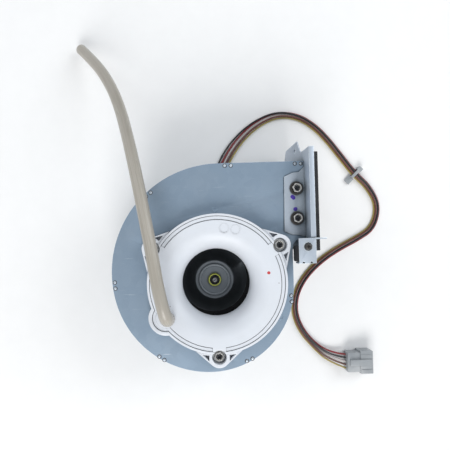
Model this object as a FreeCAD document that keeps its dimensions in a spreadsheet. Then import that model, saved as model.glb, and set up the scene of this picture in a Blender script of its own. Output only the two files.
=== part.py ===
import FreeCAD, Part
import math
import os
import types

import Sketcher

# A combustion blower for a gas heater. The rotation axis is Z, with the inlet at the top, and the
# motor's rear face rests on the floor at Z = 0. The outlet blows towards +X. Millimetres throughout.

Vector = FreeCAD.Vector
doc = FreeCAD.newDocument("CombustionBlower")

# ---- driving dimensions -------------------------------------------------------------------------

drivingSizes = [
    ("motorRadius", 42.0, "outside of the motor can"),
    ("motorWall", 1.2, "sheet of the motor can"),
    ("capThick", 3.0, "rear cap, whose outer face is the rest face"),
    ("motorTop", 24.0, "front of the motor can, where the back plate sits"),
    ("seatRadius", 6.5, "bearing seats and the bearings' outside"),
    ("bossRadius", 9.0, "outside of the bearing bosses"),
    ("raceThick", 1.3, "wall of each bearing ring"),
    ("bearingWide", 4.0, "width of each bearing"),
    ("rearBearingFoot", 3.6, "lower face of the rear bearing"),
    ("frontBearingFoot", 18.8, "lower face of the front bearing"),
    ("shaftRadius", 2.5, "motor shaft"),
    ("shaftFoot", 2.6, "lower end of the shaft"),
    ("shaftTip", 52.5, "upper end of the shaft, above the lock nut"),
    ("statorRadius", 38.5, "outside of the stator core"),
    ("statorYoke", 32.0, "inside of the stator's back ring"),
    ("toothTip", 21.0, "radius of the tooth tips"),
    ("statorFoot", 9.0, "lower face of the stator core"),
    ("statorHigh", 9.0, "height of the stator core"),
    ("magnetRadius", 20.4, "outside of the rotor magnet, with an air gap to the teeth"),
    ("coreRadius", 13.0, "outside of the rotor core"),
    ("sheetThick", 1.0, "front and back plates and brackets"),
    ("bandThick", 0.8, "scroll band"),
    ("scrollHigh", 53.0, "height of the scroll's inside"),
    ("scrollTop", 98.3, "Y of the scroll's straight upper wall"),
    ("scrollBottom", 73.5, "depth of the scroll's lowest point below the axis"),
    ("scrollRight", 63.5, "X of the scroll's straight right wall"),
    ("arcX", -6.2, "X of the two lower arcs' centres"),
    ("arcY", 6.2, "Y of the lower left arc's centre"),
    ("joinAngle", 195.0, "direction in which the lower left and upper arcs meet, in degrees"),
    ("outletX", 74.5, "X of the scroll's mouth"),
    ("noseY", 26.0, "Y where the right wall turns into the outlet's lower wall"),
    ("noseRadius", 9.0, "bend between them"),
    ("plateHole", 41.0, "hole of the front plate under the inlet cover"),
    ("ringRadius", 56.5, "outside of the white ring frame"),
    ("ringHigh", 11.0, "height of the ring frame above the front plate"),
    ("ringInside", 54.8, "inside of the ring frame's wall"),
    ("ringBore", 45.0, "hole in the ring frame's floor"),
    ("ringFloor", 2.0, "floor of the ring frame, which carries the inlet cover"),
    ("partGap", 0.4, "gap between the ring frame and the inlet cover"),
    ("lugPitch", 59.5, "radius on which the three ring screws stand"),
    ("lugRadius", 8.5, "outside of each lug"),
    ("lugHigh", 9.0, "height of each lug"),
    ("lugPocket", 5.9, "screw pocket in each lug"),
    ("lugDeep", 8.0, "depth of the screw pocket below the ring's face"),
    ("bumpX", -42.0, "X of the nipple's bump"),
    ("bumpY", -26.2, "Y of the nipple's bump"),
    ("bumpRadius", 14.0, "outside of the ring frame round the nipple"),
    ("bumpInside", 11.2, "inside of the ring frame round the nipple"),
    ("nippleX", -40.4, "X of the hose nipple"),
    ("nippleY", -26.8, "Y of the hose nipple"),
    ("nippleRadius", 3.2, "outside of the hose nipple"),
    ("nippleBore", 1.8, "bore of the hose nipple"),
    ("nippleTip", 96.4, "upper end of the hose nipple"),
    ("throatRadius", 28.2, "narrowest part of the bell mouth"),
    ("throatLong", 2.5, "straight part of the throat, inside the impeller's eye"),
    ("mouthRadius", 16.0, "rounding of the bell mouth"),
    ("coverWall", 2.0, "wall of the inlet cover"),
    ("stepRadius", 51.2, "step round the inlet cover"),
    ("stepDeep", 0.7, "depth of that step"),
    ("wheelRadius", 54.0, "outside of the impeller"),
    ("wheelFoot", 28.5, "lower face of the impeller's back disc"),
    ("discThick", 1.5, "back disc and cone"),
    ("bladeInner", 33.0, "radius where the blades start"),
    ("bladeThick", 1.0, "thickness of a blade"),
    ("bladeBend", 36.0, "radius of a blade's curve"),
    ("bladeCount", 12.0, "number of blades"),
    ("eyeRadius", 31.0, "inlet eye of the impeller's shroud"),
    ("eyeTop", 72.0, "upper edge of the shroud's eye"),
    ("rimTop", 60.0, "upper edge of the shroud's rim"),
    ("coneRadius", 31.0, "foot of the impeller's cone, where it meets the back disc"),
    ("coneTop", 47.0, "top of the impeller's cone"),
    ("clampRadius", 14.0, "clamp disc on the cone"),
    ("clampThick", 1.4, "thickness of the clamp disc"),
    ("nutRadius", 5.8, "lock nut"),
    ("nutHigh", 3.1, "height of the lock nut"),
    ("flangeFoot", 7.0, "lower edge of the outlet flange"),
    ("flangeTop", 96.0, "upper edge of the outlet flange"),
    ("flangeNear", 24.4, "Y of the flange's lower end"),
    ("flangeFar", 107.0, "Y of the flange's upper end"),
    ("earFar", 119.0, "Y of the ear's edge"),
    ("earTop", 57.0, "height up to which the ear is full width"),
    ("earNotch", 69.0, "height where the ear's slope meets the flange"),
    ("earHoleY", 111.5, "Y of the ear's hole"),
    ("earHoleZ", 49.0, "height of the ear's hole"),
    ("earHoleRadius", 2.2, "hole in the ear"),
    ("lipWide", 3.0, "lips that fold round the gasket"),
    ("gasketThick", 6.3, "foam gasket"),
    ("screwAcross", 7.0, "hexagon of the M4 screws, across flats"),
    ("screwHead", 3.4, "height of a screw head"),
    ("screwShank", 1.95, "shank of the M4 screws"),
    ("screwHole", 2.05, "holes for the M4 screws"),
    ("washerThick", 0.8, "flat washers"),
    ("ringWasher", 5.0, "outside of the ring washers"),
    ("flangeWasher", 5.5, "outside of the flange washers"),
    ("flangeScrewX", 67.7, "X of the two flange screws"),
    ("flangeScrewY", 51.1, "Y of the nearer flange screw"),
    ("flangeScrewPitch", 24.7, "distance between the flange screws"),
    ("bracketNear", 14.6, "Y of the corner bracket's lower edge"),
    ("bracketScrewX", 71.6, "X of the corner bracket's screw, clear of the flange"),
    ("bracketScrewY", 27.9, "Y of the corner bracket's screw"),
    ("motorScrewPitch", 30.0, "radius on which the motor screws stand"),
    ("motorScrewShank", 1.45, "shank of the motor screws"),
    ("hoseRadius", 5.0, "outside of the pressure hose"),
    ("hoseBore", 3.25, "bore of the pressure hose"),
    ("wireRadius", 0.85, "outside of each wire"),
    ("grommetFace", 47.5, "Y of the grommet's outer face, where the wires start"),
    ("plugFoot", 0.0, "the connector lies on the floor"),
    ("plugX", 129.0, "X of the connector's wire face"),
    ("plugY", -87.9, "Y of the connector's middle"),
    ("plugLong", 24.0, "length of the connector"),
    ("plugWide", 19.0, "width of the connector's wire end"),
    ("plugHigh", 12.0, "height of the connector's wire end"),
]

sheet = doc.addObject("Spreadsheet::Sheet", "Sizes")


class Size:
    """A length that carries its value and the sheet formula it comes from."""

    def __init__(self, value, formula):
        self.value = float(value)
        self.formula = formula

    def __add__(self, other):
        other = asSize(other)
        return Size(self.value + other.value, f"({self.formula} + {other.formula})")

    def __sub__(self, other):
        other = asSize(other)
        return Size(self.value - other.value, f"({self.formula} - {other.formula})")

    def __mul__(self, other):
        other = asSize(other)
        return Size(self.value * other.value, f"({self.formula} * {other.formula})")

    def __truediv__(self, other):
        other = asSize(other)
        return Size(self.value / other.value, f"({self.formula} / {other.formula})")

    def __radd__(self, other):
        return asSize(other) + self

    def __rsub__(self, other):
        return asSize(other) - self

    def __neg__(self):
        return asSize(0) - self


def asSize(number):
    if isinstance(number, Size):
        return number
    return Size(number, f"({float(number)})")


size = types.SimpleNamespace()
for row, (alias, value, meaning) in enumerate(drivingSizes, 1):
    sheet.set(f"A{row}", meaning)
    sheet.set(f"B{row}", str(value))
    sheet.setAlias(f"B{row}", alias)
    setattr(size, alias, Size(value, f"Sizes.{alias}"))
doc.recompute()


def cosine(degrees):
    degrees = asSize(degrees)
    return Size(math.cos(math.radians(degrees.value)), f"cos({degrees.formula} * 1 deg)")


def sine(degrees):
    degrees = asSize(degrees)
    return Size(math.sin(math.radians(degrees.value)), f"sin({degrees.formula} * 1 deg)")


def turned(along, across, degrees):
    """The place that lies `along` a direction and `across` it to the left."""
    along = asSize(along)
    across = asSize(across)
    x = along * cosine(degrees) - across * sine(degrees)
    y = along * sine(degrees) + across * cosine(degrees)
    return x, y


# ---- sketches and features ----------------------------------------------------------------------


class Drawing:
    """A sketch on one origin plane of its body. Each end, centre and radius is bound to the sheet."""

    def __init__(self, body, plane="XY_Plane", lift=0):
        self.sketch = body.newObject("Sketcher::SketchObject", "Sketch")
        face = next(f for f in body.Origin.OriginFeatures if f.Role == plane)
        self.sketch.AttachmentSupport = [(face, "")]
        self.sketch.MapMode = "FlatFace"
        self.sketch.setExpression("AttachmentOffset.Base.z", asSize(lift).formula)

    def bind(self, constraint, length):
        place = self.sketch.addConstraint(constraint)
        self.sketch.renameConstraint(place, f"size{place}")
        self.sketch.setExpression(f"Constraints.size{place}", length.formula)

    def pinX(self, edge, end, x):
        if abs(x.value) < 1e-9:
            self.sketch.addConstraint(Sketcher.Constraint("PointOnObject", edge, end, -2))
            return
        self.bind(Sketcher.Constraint("DistanceX", -1, 1, edge, end, x.value), x)

    def pinY(self, edge, end, y):
        if abs(y.value) < 1e-9:
            self.sketch.addConstraint(Sketcher.Constraint("PointOnObject", edge, end, -1))
            return
        self.bind(Sketcher.Constraint("DistanceY", -1, 1, edge, end, y.value), y)

    def pin(self, edge, end, place):
        self.pinX(edge, end, asSize(place[0]))
        self.pinY(edge, end, asSize(place[1]))

    def line(self, start, end):
        edge = self.sketch.addGeometry(Part.LineSegment(flat(start), flat(end)), False)
        self.pin(edge, 1, start)
        self.pin(edge, 2, end)
        return self

    def polygon(self, corners):
        first = self.sketch.GeometryCount
        count = len(corners)
        for place, corner in enumerate(corners):
            after = corners[(place + 1) % count]
            self.sketch.addGeometry(Part.LineSegment(flat(corner), flat(after)), False)
        for place, corner in enumerate(corners):
            before = first + (place - 1) % count
            self.sketch.addConstraint(Sketcher.Constraint("Coincident", before, 2, first + place, 1))
            self.pin(first + place, 1, corner)
        return self

    def box(self, lowX, lowY, highX, highY):
        return self.polygon([(lowX, lowY), (highX, lowY), (highX, highY), (lowX, highY)])

    def circle(self, centre, radius):
        radius = asSize(radius)
        edge = self.sketch.addGeometry(Part.Circle(flat(centre), Vector(0, 0, 1), radius.value), False)
        self.pin(edge, 3, centre)
        self.bind(Sketcher.Constraint("Radius", edge, radius.value), radius)
        return self

    def arc(self, centre, radius, startAngle, endAngle):
        """An anticlockwise arc. Each end is held by the coordinate that changes most along it."""
        radius = asSize(radius)
        angles = (asSize(startAngle), asSize(endAngle))
        whole = Part.Circle(flat(centre), Vector(0, 0, 1), radius.value)
        turn = [math.radians(angle.value) for angle in angles]
        edge = self.sketch.addGeometry(Part.ArcOfCircle(whole, turn[0], turn[1]), False)
        self.pin(edge, 3, centre)
        self.bind(Sketcher.Constraint("Radius", edge, radius.value), radius)
        for end, angle in zip((1, 2), angles):
            if abs(math.cos(math.radians(angle.value))) < 0.7:
                self.pinX(edge, end, centre[0] + radius * cosine(angle))
            else:
                self.pinY(edge, end, centre[1] + radius * sine(angle))
        return self


def flat(place):
    return Vector(asSize(place[0]).value, asSize(place[1]).value, 0)


bodies = []


def newBody(name):
    body = doc.addObject("PartDesign::Body", "Body")
    body.Label = name
    bodies.append(body)
    return body


def axisOf(body, role):
    return next(f for f in body.Origin.OriginFeatures if f.Role == role)


def pad(body, drawing, length):
    feature = body.newObject("PartDesign::Pad", "Pad")
    feature.Profile = drawing.sketch
    feature.setExpression("Length", asSize(length).formula)
    return feature


def revolve(body, drawing):
    feature = body.newObject("PartDesign::Revolution", "Revolution")
    feature.Profile = drawing.sketch
    feature.ReferenceAxis = (drawing.sketch, ["V_Axis"])
    feature.Angle = 360
    return feature


def cutFeature(body, kind, drawing):
    """Adds a feature that removes material and makes sure that it does."""
    doc.recompute()
    before = body.Shape.Volume
    feature = body.newObject(f"PartDesign::{kind}", kind)
    feature.Profile = drawing.sketch
    return feature, before


def confirmCut(body, before):
    doc.recompute()
    if body.Shape.Volume > before - 1e-3:
        raise RuntimeError(f"{body.Label}: a cut removed nothing")


def pocket(body, drawing, depth):
    feature, before = cutFeature(body, "Pocket", drawing)
    feature.setExpression("Length", asSize(depth).formula)
    confirmCut(body, before)
    return feature


def groove(body, drawing):
    feature, before = cutFeature(body, "Groove", drawing)
    feature.ReferenceAxis = (drawing.sketch, ["V_Axis"])
    feature.Angle = 360
    confirmCut(body, before)
    return feature


def around(body, features, count):
    pattern = body.newObject("PartDesign::PolarPattern", "PolarPattern")
    pattern.Originals = features
    pattern.Axis = (axisOf(body, "Z_Axis"), [""])
    pattern.Angle = 360
    if isinstance(count, Size):
        pattern.setExpression("Occurrences", count.formula)
    else:
        pattern.Occurrences = count
    body.Tip = pattern
    return pattern


def roundEdges(body, base, radius, chosen):
    """Rounds the edges whose middle the test `chosen` picks."""
    doc.recompute()
    names = []
    for place, edge in enumerate(base.Shape.Edges, 1):
        middle = edge.valueAt((edge.FirstParameter + edge.LastParameter) / 2)
        if chosen(edge, middle):
            names.append(f"Edge{place}")
    feature = body.newObject("PartDesign::Fillet", "Fillet")
    feature.Base = (base, names)
    feature.setExpression("Radius", asSize(radius).formula)
    return feature


def upright(edge):
    ends = [vertex.Point for vertex in edge.Vertexes]
    if len(ends) < 2:
        return False
    step = ends[1] - ends[0]
    return abs(step.z) > 0.9 * step.Length


def turnedPiece(name, corners):
    """A body revolved about Z from its half section, given as (radius, height) corners."""
    body = newBody(name)
    revolve(body, Drawing(body, "XZ_Plane").polygon(corners))
    return body


def washer(name, places, inner, outer, foot, thick):
    body = newBody(name)
    drawing = Drawing(body, lift=foot)
    for place in places:
        drawing.circle(place, outer).circle(place, inner)
    pad(body, drawing, thick)
    return body


def hexagon(drawing, centre, across, turn=0):
    corner = across / (2 * math.cos(math.radians(30)))
    corners = []
    for place in range(6):
        x, y = turned(corner, 0, 60 * place + turn)
        corners.append((centre[0] + x, centre[1] + y))
    return drawing.polygon(corners)


def screws(name, places, seat, reach):
    """M4 screws with dished hexagon heads, whose heads sit at height `seat`."""
    body = newBody(name)
    heads = Drawing(body, lift=seat)
    for number, place in enumerate(places):
        hexagon(heads, place, size.screwAcross, 17 * number + 8)
    pad(body, heads, size.screwHead)
    shanks = Drawing(body, lift=seat - reach)
    for place in places:
        shanks.circle(place, size.screwShank)
    pad(body, shanks, asSize(reach) + 0.5)
    dishes = Drawing(body, lift=seat + size.screwHead)
    for place in places:
        dishes.circle(place, size.screwAcross / 2 - 0.8)
    pocket(body, dishes, 0.8)
    crosses = Drawing(body, lift=seat + size.screwHead - 0.8)
    for x, y in places:
        crosses.polygon(crossCorners(x, y, 1.9, 0.45))
    pocket(body, crosses, 1.4)
    return body


def crossCorners(x, y, arm, half):
    """The twelve corners of a driver cross."""
    steps = [(arm, half), (half, half), (half, arm), (-half, arm), (-half, half), (-arm, half)]
    steps += [(-arm, -half), (-half, -half), (-half, -arm), (half, -arm), (half, -half), (arm, -half)]
    return [(x + stepX, y + stepY) for stepX, stepY in steps]


# ---- levels that several pieces share -----------------------------------------------------------

bandFoot = size.motorTop + size.sheetThick
bandTop = bandFoot + size.scrollHigh
plateTop = bandTop + size.sheetThick
ringTop = plateTop + size.ringHigh
lugSeat = ringTop - size.lugDeep
lugPlaces = [turned(size.lugPitch, 0, angle) for angle in (30, 150, 270)]
flangeScrewPlaces = [
    (size.flangeScrewX, size.flangeScrewY),
    (size.flangeScrewX, size.flangeScrewY + size.flangeScrewPitch),
]

# The volute is drafted from three tangent arcs that grow from the bottom right to the top.
midRadius = size.scrollBottom + size.arcY
lowRadius = size.scrollRight - size.arcX
lowY = lowRadius - size.scrollBottom
growth = (size.scrollTop - size.arcY - midRadius) / (1 - sine(size.joinAngle))
topX = size.arcX - growth * cosine(size.joinAngle)
topY = size.arcY - growth * sine(size.joinAngle)
noseX = size.scrollRight + size.noseRadius
noseTop = size.noseY + size.noseRadius


def volute(drawing, inset):
    """The scroll's outline from its mouth's upper corner round to the mouth's lower corner."""
    topRadius = size.scrollTop - topY - inset
    drawing.line((size.outletX, size.scrollTop - inset), (topX, size.scrollTop - inset))
    drawing.arc((topX, topY), topRadius, 90, size.joinAngle)
    drawing.arc((size.arcX, size.arcY), midRadius - inset, size.joinAngle, 270)
    drawing.arc((size.arcX, lowY), lowRadius - inset, 270, 360)
    drawing.line((size.scrollRight - inset, lowY), (size.scrollRight - inset, size.noseY))
    drawing.arc((noseX, size.noseY), size.noseRadius + inset, 90, 180)
    drawing.line((noseX, noseTop + inset), (size.outletX, noseTop + inset))
    return drawing


def scrollPlate(name, foot, holes):
    body = newBody(name)
    drawing = volute(Drawing(body, lift=foot), asSize(0))
    drawing.line((size.outletX, noseTop), (size.outletX, size.scrollTop))
    for place, radius in holes:
        drawing.circle(place, radius)
    pad(body, drawing, size.sheetThick)
    return body


# ---- motor --------------------------------------------------------------------------------------


def motorRearCap():
    shoulder = size.rearBearingFoot - 0.2
    rim = size.motorRadius
    seat = size.seatRadius
    corners = [(0, 0), (rim - 1, 0), (rim, 1), (rim, size.capThick), (size.bossRadius, size.capThick)]
    corners += [(size.bossRadius, 8), (seat, 8), (seat, shoulder), (4.5, shoulder), (4.5, 2), (0, 2)]
    turnedPiece("motor_rear_cap", corners)


def motorCan():
    outer = size.motorRadius
    inner = outer - size.motorWall
    lid = size.motorTop - size.motorWall
    seat = size.seatRadius
    corners = [(inner, size.capThick), (outer, size.capThick), (outer, size.motorTop - 1)]
    corners += [(outer - 1, size.motorTop), (5, size.motorTop), (5, lid), (seat, lid)]
    corners += [(seat, size.frontBearingFoot), (size.bossRadius, size.frontBearingFoot)]
    corners += [(size.bossRadius, lid - 0.2), (inner, lid - 0.2)]
    body = turnedPiece("motor_can", corners)
    side = Drawing(body, "XZ_Plane").box(-6.2, 8.8, 6.2, 15.2)
    pocket(body, side, outer + 3)
    holes = Drawing(body, lift=size.motorTop)
    for angle in (90, 210, 330):
        holes.circle(turned(size.motorScrewPitch, 0, angle), 1.5)
    pocket(body, holes, 1.5)


def bearing(name, foot):
    seat = size.seatRadius
    bore = size.shaftRadius
    top = foot + size.bearingWide
    wall = size.raceThick
    turnedPiece(name + "_outer", [(seat - wall, foot), (seat, foot), (seat, top), (seat - wall, top)])
    turnedPiece(name + "_inner", [(bore, foot), (bore + wall, foot), (bore + wall, top), (bore, top)])


def bearingBalls():
    body = newBody("bearing_balls")
    middle = (size.seatRadius + size.shaftRadius) / 2
    ball = (size.seatRadius - size.shaftRadius - size.raceThick - size.raceThick) / 2 - 0.05
    for foot in (size.rearBearingFoot, size.frontBearingFoot):
        height = foot + size.bearingWide / 2
        drawing = Drawing(body, "XZ_Plane")
        drawing.arc((middle, height), ball, -90, 90)
        drawing.line((middle, height - ball), (middle, height + ball))
        feature = body.newObject("PartDesign::Revolution", "Ball")
        feature.Profile = drawing.sketch
        feature.ReferenceAxis = (drawing.sketch, ["Edge2"])
        feature.Angle = 360
        around(body, [feature], 7)


def stator():
    core = newBody("stator_core")
    rings = Drawing(core, lift=size.statorFoot)
    rings.circle((0, 0), size.statorRadius).circle((0, 0), size.statorYoke)
    pad(core, rings, size.statorHigh)
    tooth = pad(core, Drawing(core, lift=size.statorFoot).box(size.toothTip, -3, 33, 3), size.statorHigh)
    around(core, [tooth], 9)
    coils = newBody("stator_windings")
    outside = Drawing(coils, lift=size.statorFoot - 1.5).box(23.5, -6, 31, 6)
    coil = pad(coils, outside, size.statorHigh + 3)
    slot = Drawing(coils, lift=size.statorFoot + size.statorHigh + 0.1).box(23, -3.1, 31.5, 3.1)
    window = pocket(coils, slot, size.statorHigh + 0.2)
    around(coils, [coil, window], 9)


def driverBoard():
    body = newBody("driver_board")
    disc = Drawing(body, lift=4.6).circle((0, 0), 38).circle((0, 0), 11)
    pad(body, disc, 1.6)
    chips = Drawing(body, lift=6).box(-30, -6, -22, 4).box(14, 14, 20, 20).box(-4, -30, 6, -24)
    pad(body, chips, 1.2)


def wireGrommet():
    """A rubber grommet through the can's side. The wires leave its outer face."""
    body = newBody("wire_grommet")
    collar = Drawing(body, "XZ_Plane", lift=-size.grommetFace).box(-7.4, 7.6, 7.4, 16.4)
    pad(body, collar, size.grommetFace - size.motorRadius - 0.1)
    neck = Drawing(body, "XZ_Plane", lift=-size.motorRadius - 1).box(-6, 9, 6, 15)
    pad(body, neck, 3.2)


def motorInside():
    bearing("rear_bearing", size.rearBearingFoot)
    bearing("front_bearing", size.frontBearingFoot)
    bearingBalls()
    foot = size.rearBearingFoot
    turnedPiece("preload_washer", [(4.7, foot - 0.2), (6.3, foot - 0.2), (6.3, foot), (4.7, foot)])
    stator()
    driverBoard()
    shaft = size.shaftRadius
    core = size.coreRadius
    low = size.statorFoot
    high = low + size.statorHigh
    turnedPiece("rotor_core", [(shaft, low), (core, low), (core, high), (shaft, high)])
    magnet = size.magnetRadius
    corners = [(core, low - 0.5), (magnet, low - 0.5), (magnet, high + 0.5), (core, high + 0.5)]
    turnedPiece("rotor_magnet", corners)


def motorScrews():
    body = newBody("motor_screws")
    places = [turned(size.motorScrewPitch, 0, angle) for angle in (90, 210, 330)]
    heads = Drawing(body, lift=bandFoot)
    shanks = Drawing(body, lift=bandFoot - 3.6)
    for place in places:
        heads.circle(place, 2.8)
        shanks.circle(place, size.motorScrewShank)
    pad(body, heads, 1.9)
    pad(body, shanks, 3.8)


# ---- shaft and impeller -------------------------------------------------------------------------


def shaft():
    radius = size.shaftRadius
    corners = [(0, size.shaftFoot), (radius, size.shaftFoot), (radius, size.shaftTip - 0.5)]
    corners += [(radius - 0.5, size.shaftTip), (0, size.shaftTip)]
    body = turnedPiece("shaft", corners)
    slot = Drawing(body, lift=size.shaftTip).polygon(
        [turned(-3, -0.4, 40), turned(3, -0.4, 40), turned(3, 0.4, 40), turned(-3, 0.4, 40)]
    )
    pocket(body, slot, 1.2)


def backDisc():
    """The flat back disc, and the hub cone that is pressed into its middle."""
    foot = size.wheelFoot
    thick = size.discThick
    top = size.coneTop
    rim = size.wheelRadius
    root = size.coneRadius
    turnedPiece("impeller_back_disc", [(root, foot), (rim, foot), (rim, foot + thick), (root, foot + thick)])
    corners = [(root, foot), (root, foot + thick), (25, foot + 5), (18, top - 1.8), (16.6, top), (4, top)]
    corners += [(4, top - 1.6), (15.6, top - 1.6), (16.6, top - 2.6), (23.6, foot + 3.9)]
    turnedPiece("impeller_cone", corners + [(root - 0.6, foot)])


def blades():
    body = newBody("impeller_blades")
    inner = size.bladeInner
    foot = size.wheelFoot + size.discThick
    bend = size.bladeBend
    # Each blade is an arc strip that leans back against the clockwise rotation.
    centreX = inner - bend * cosine(-52)
    centreY = -(bend * sine(-52))
    centre = (centreX, centreY)
    strip = Drawing(body, lift=foot)
    outerBend = bend + size.bladeThick
    strip.arc(centre, bend, -52, -9)
    strip.arc(centre, outerBend, -52, -9)
    for angle in (-52, -9):
        near = (centreX + bend * cosine(angle), centreY + bend * sine(angle))
        far = (centreX + outerBend * cosine(angle), centreY + outerBend * sine(angle))
        strip.line(near, far)
    blade = pad(body, strip, size.eyeTop - foot)
    around(body, [blade], size.bladeCount)
    slope = (size.eyeTop - size.rimTop) / (size.wheelRadius - size.eyeRadius)
    above = Drawing(body, "XZ_Plane").polygon([
        (size.eyeRadius - 3, size.eyeTop + slope * 3),
        (size.wheelRadius + 8, size.rimTop - slope * 8),
        (size.wheelRadius + 8, size.eyeTop + 10),
        (size.eyeRadius - 3, size.eyeTop + 10),
    ])
    groove(body, above)


def shroud():
    eye = size.eyeRadius
    top = size.eyeTop
    rim = size.wheelRadius
    edge = size.rimTop
    corners = [(eye, top), (eye, top + 3), (eye + 1.2, top + 3), (eye + 1.2, top + 0.6)]
    corners += [(rim, edge + 1.2), (rim, edge)]
    turnedPiece("impeller_shroud", corners)


def hub():
    bore = size.shaftRadius
    top = size.coneTop
    disc = top - 1.6
    corners = [(bore, top - 9), (4.5, top - 9), (4.5, disc - 2), (9, disc - 2), (9, disc), (4, disc)]
    turnedPiece("hub_boss", corners + [(4, top), (bore, top)])
    turnedPiece("hub_clip", [(bore, top - 10), (5, top - 10), (5, top - 9), (bore, top - 9)])
    thick = size.clampThick
    clamp = size.clampRadius
    corners = [(bore, top), (clamp, top), (clamp, top + thick - 0.3), (clamp - 0.3, top + thick)]
    turnedPiece("clamp_disc", corners + [(bore, top + thick)])
    seat = top + thick
    outer = size.nutRadius
    rim = seat + size.nutHigh
    corners = [(bore, seat), (outer, seat), (outer, rim - 0.5), (outer - 0.4, rim)]
    corners += [(outer - 1.4, rim), (outer - 1.8, rim - 0.5), (outer - 1.8, seat + 1), (bore, seat + 1)]
    turnedPiece("lock_nut", corners)


# ---- scroll housing -----------------------------------------------------------------------------


def scroll():
    back = [((0, 0), 11)]
    back += [(turned(size.motorScrewPitch, 0, angle), 1.6) for angle in (90, 210, 330)]
    scrollPlate("back_plate", size.motorTop, back)
    front = [((0, 0), size.plateHole)]
    front += [(place, size.screwHole) for place in lugPlaces + flangeScrewPlaces]
    scrollPlate("front_plate", bandTop, front)
    band = newBody("scroll_band")
    wall = size.bandThick
    strip = volute(volute(Drawing(band, lift=bandFoot), asSize(0)), wall)
    for y in (size.scrollTop, noseTop + wall):
        strip.line((size.outletX, y), (size.outletX, y - wall))
    pad(band, strip, size.scrollHigh)


def stakeHeads():
    """Pairs of small staked heads, close inside the plate's edge."""
    body = newBody("stake_heads")
    drawing = Drawing(body, lift=plateTop)
    pairs = [((9.4, 96.2), 0), ((67.3, 96.2), 0), ((-56.1, 72.6), 40)]
    pairs += [((-83.6, -2.4), 94), ((-49.0, -59.5), -36), ((23.1, -65.3), 22), ((61.4, -17.4), 93)]
    for (x, y), turn in pairs:
        stepX, stepY = turned(5, 0, turn)
        drawing.circle((x, y), 1.2)
        drawing.circle((x + stepX, y + stepY), 1.2)
    pad(body, drawing, 0.45)


def outletFlange():
    body = newBody("outlet_flange")
    low = size.flangeFoot
    high = size.flangeTop
    near = size.flangeNear
    far = size.flangeFar
    ear = size.earFar
    face = Drawing(body, "YZ_Plane", lift=size.outletX)
    face.polygon([
        (near, low), (ear - 7, low), (ear, low + 6), (ear, size.earTop), (far, size.earNotch),
        (far, high), (near, high),
    ])
    wall = size.bandThick
    face.box(noseTop + wall, bandFoot, size.scrollTop - wall, bandTop)
    face.circle((size.earHoleY, size.earHoleZ), size.earHoleRadius)
    pad(body, face, size.sheetThick)
    lips = Drawing(body, "YZ_Plane", lift=size.outletX)
    thick = size.sheetThick
    lips.box(near, high - thick, far, high).box(near, low, far, low + thick)
    pad(body, lips, size.sheetThick + size.lipWide)
    tab = Drawing(body, lift=plateTop)
    right = size.outletX + 0.5
    tab.polygon([
        (57.0, 40.6), (63.6, 37.8), (68.4, 37.5), (72.6, 36.2), (right, 36.2), (right, 93.7),
        (70.0, 89.1), (64.4, 88.5), (58.0, 85.5),
    ])
    for place in flangeScrewPlaces:
        tab.circle(place, size.screwHole)
    pad(body, tab, size.sheetThick)


def outletGasket():
    body = newBody("outlet_gasket")
    frame = Drawing(body, "YZ_Plane", lift=size.outletX + size.sheetThick)
    near = size.flangeNear
    frame.box(near + 0.2, size.flangeFoot + 1.3, size.flangeFar - 4, size.flangeTop - 1.3)
    frame.box(38, 28, 95.3, 75)
    pad(body, frame, size.gasketThick)


def cornerBracket():
    body = newBody("corner_bracket")
    top = size.flangeTop
    thick = size.sheetThick
    place = (size.bracketScrewX, size.bracketScrewY)
    near = size.bracketNear
    plate = Drawing(body, lift=top).box(64.4, near, 78, 34.6).circle(place, 1.6)
    pad(body, plate, thick)
    skirt = Drawing(body, lift=top - 11).box(64.4, near, 78, near + 1)
    pad(body, skirt, 11.5)
    bridge = Drawing(body, lift=top).box(77, 33.6, 86.6, 34.8)
    pad(body, bridge, thick)
    hook = Drawing(body, lift=top - 1).box(82.4, 33.6, 86.6, 34.8)
    pad(body, hook, thick + 1)
    screw = newBody("corner_screw")
    pad(screw, Drawing(screw, lift=top + thick).circle(place, 2.7), 1.8)
    pad(screw, Drawing(screw, lift=top - 5).circle(place, 1.45), 6.5)
    cross = Drawing(screw, lift=top + thick + 1.8).polygon(crossCorners(*place, 1.5, 0.35))
    pocket(screw, cross, 1.0)
    nut = newBody("corner_nut")
    pad(nut, hexagon(Drawing(nut, lift=top - 2.4), place, asSize(5.5), 30).circle(place, 1.5), 2.4)
    block = newBody("corner_pad")
    base = pad(block, Drawing(block, lift=plateTop).box(63.8, near + 1.2, 68.2, near + 14), top - plateTop)
    roundEdges(block, base, 2.0, lambda edge, middle: upright(edge) and middle.x < 64)


# ---- white inlet ring ---------------------------------------------------------------------------


def lugOutline(drawing):
    """A lug's round end and its two flanks, which run in to the ring. It lies at 30 degrees."""
    spread = 42
    centre = turned(size.lugPitch, 0, 30)
    tipAlong = size.lugPitch + size.lugRadius * cosine(spread)
    tipAcross = size.lugRadius * sine(spread)
    reach = asSize(17.5)
    footAlong = tipAlong - reach * sine(spread)
    footAcross = tipAcross + reach * cosine(spread)
    drawing.arc(centre, size.lugRadius, 30 - spread, 30 + spread)
    left = turned(footAlong, footAcross, 30)
    right = turned(footAlong, -footAcross, 30)
    drawing.line(turned(tipAlong, tipAcross, 30), left)
    drawing.line(left, right)
    drawing.line(right, turned(tipAlong, -tipAcross, 30))
    return drawing


def webPockets(drawing):
    """The two three-cornered hollows beside a lug's screw."""
    along = size.lugPitch
    for side in (1, -1):
        drawing.polygon([
            turned(along + 2.8, 8.3 * side, 30),
            turned(along - 1.9, 8.1 * side, 30),
            turned(along - 2.5, 13.4 * side, 30),
        ])
    return drawing


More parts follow.
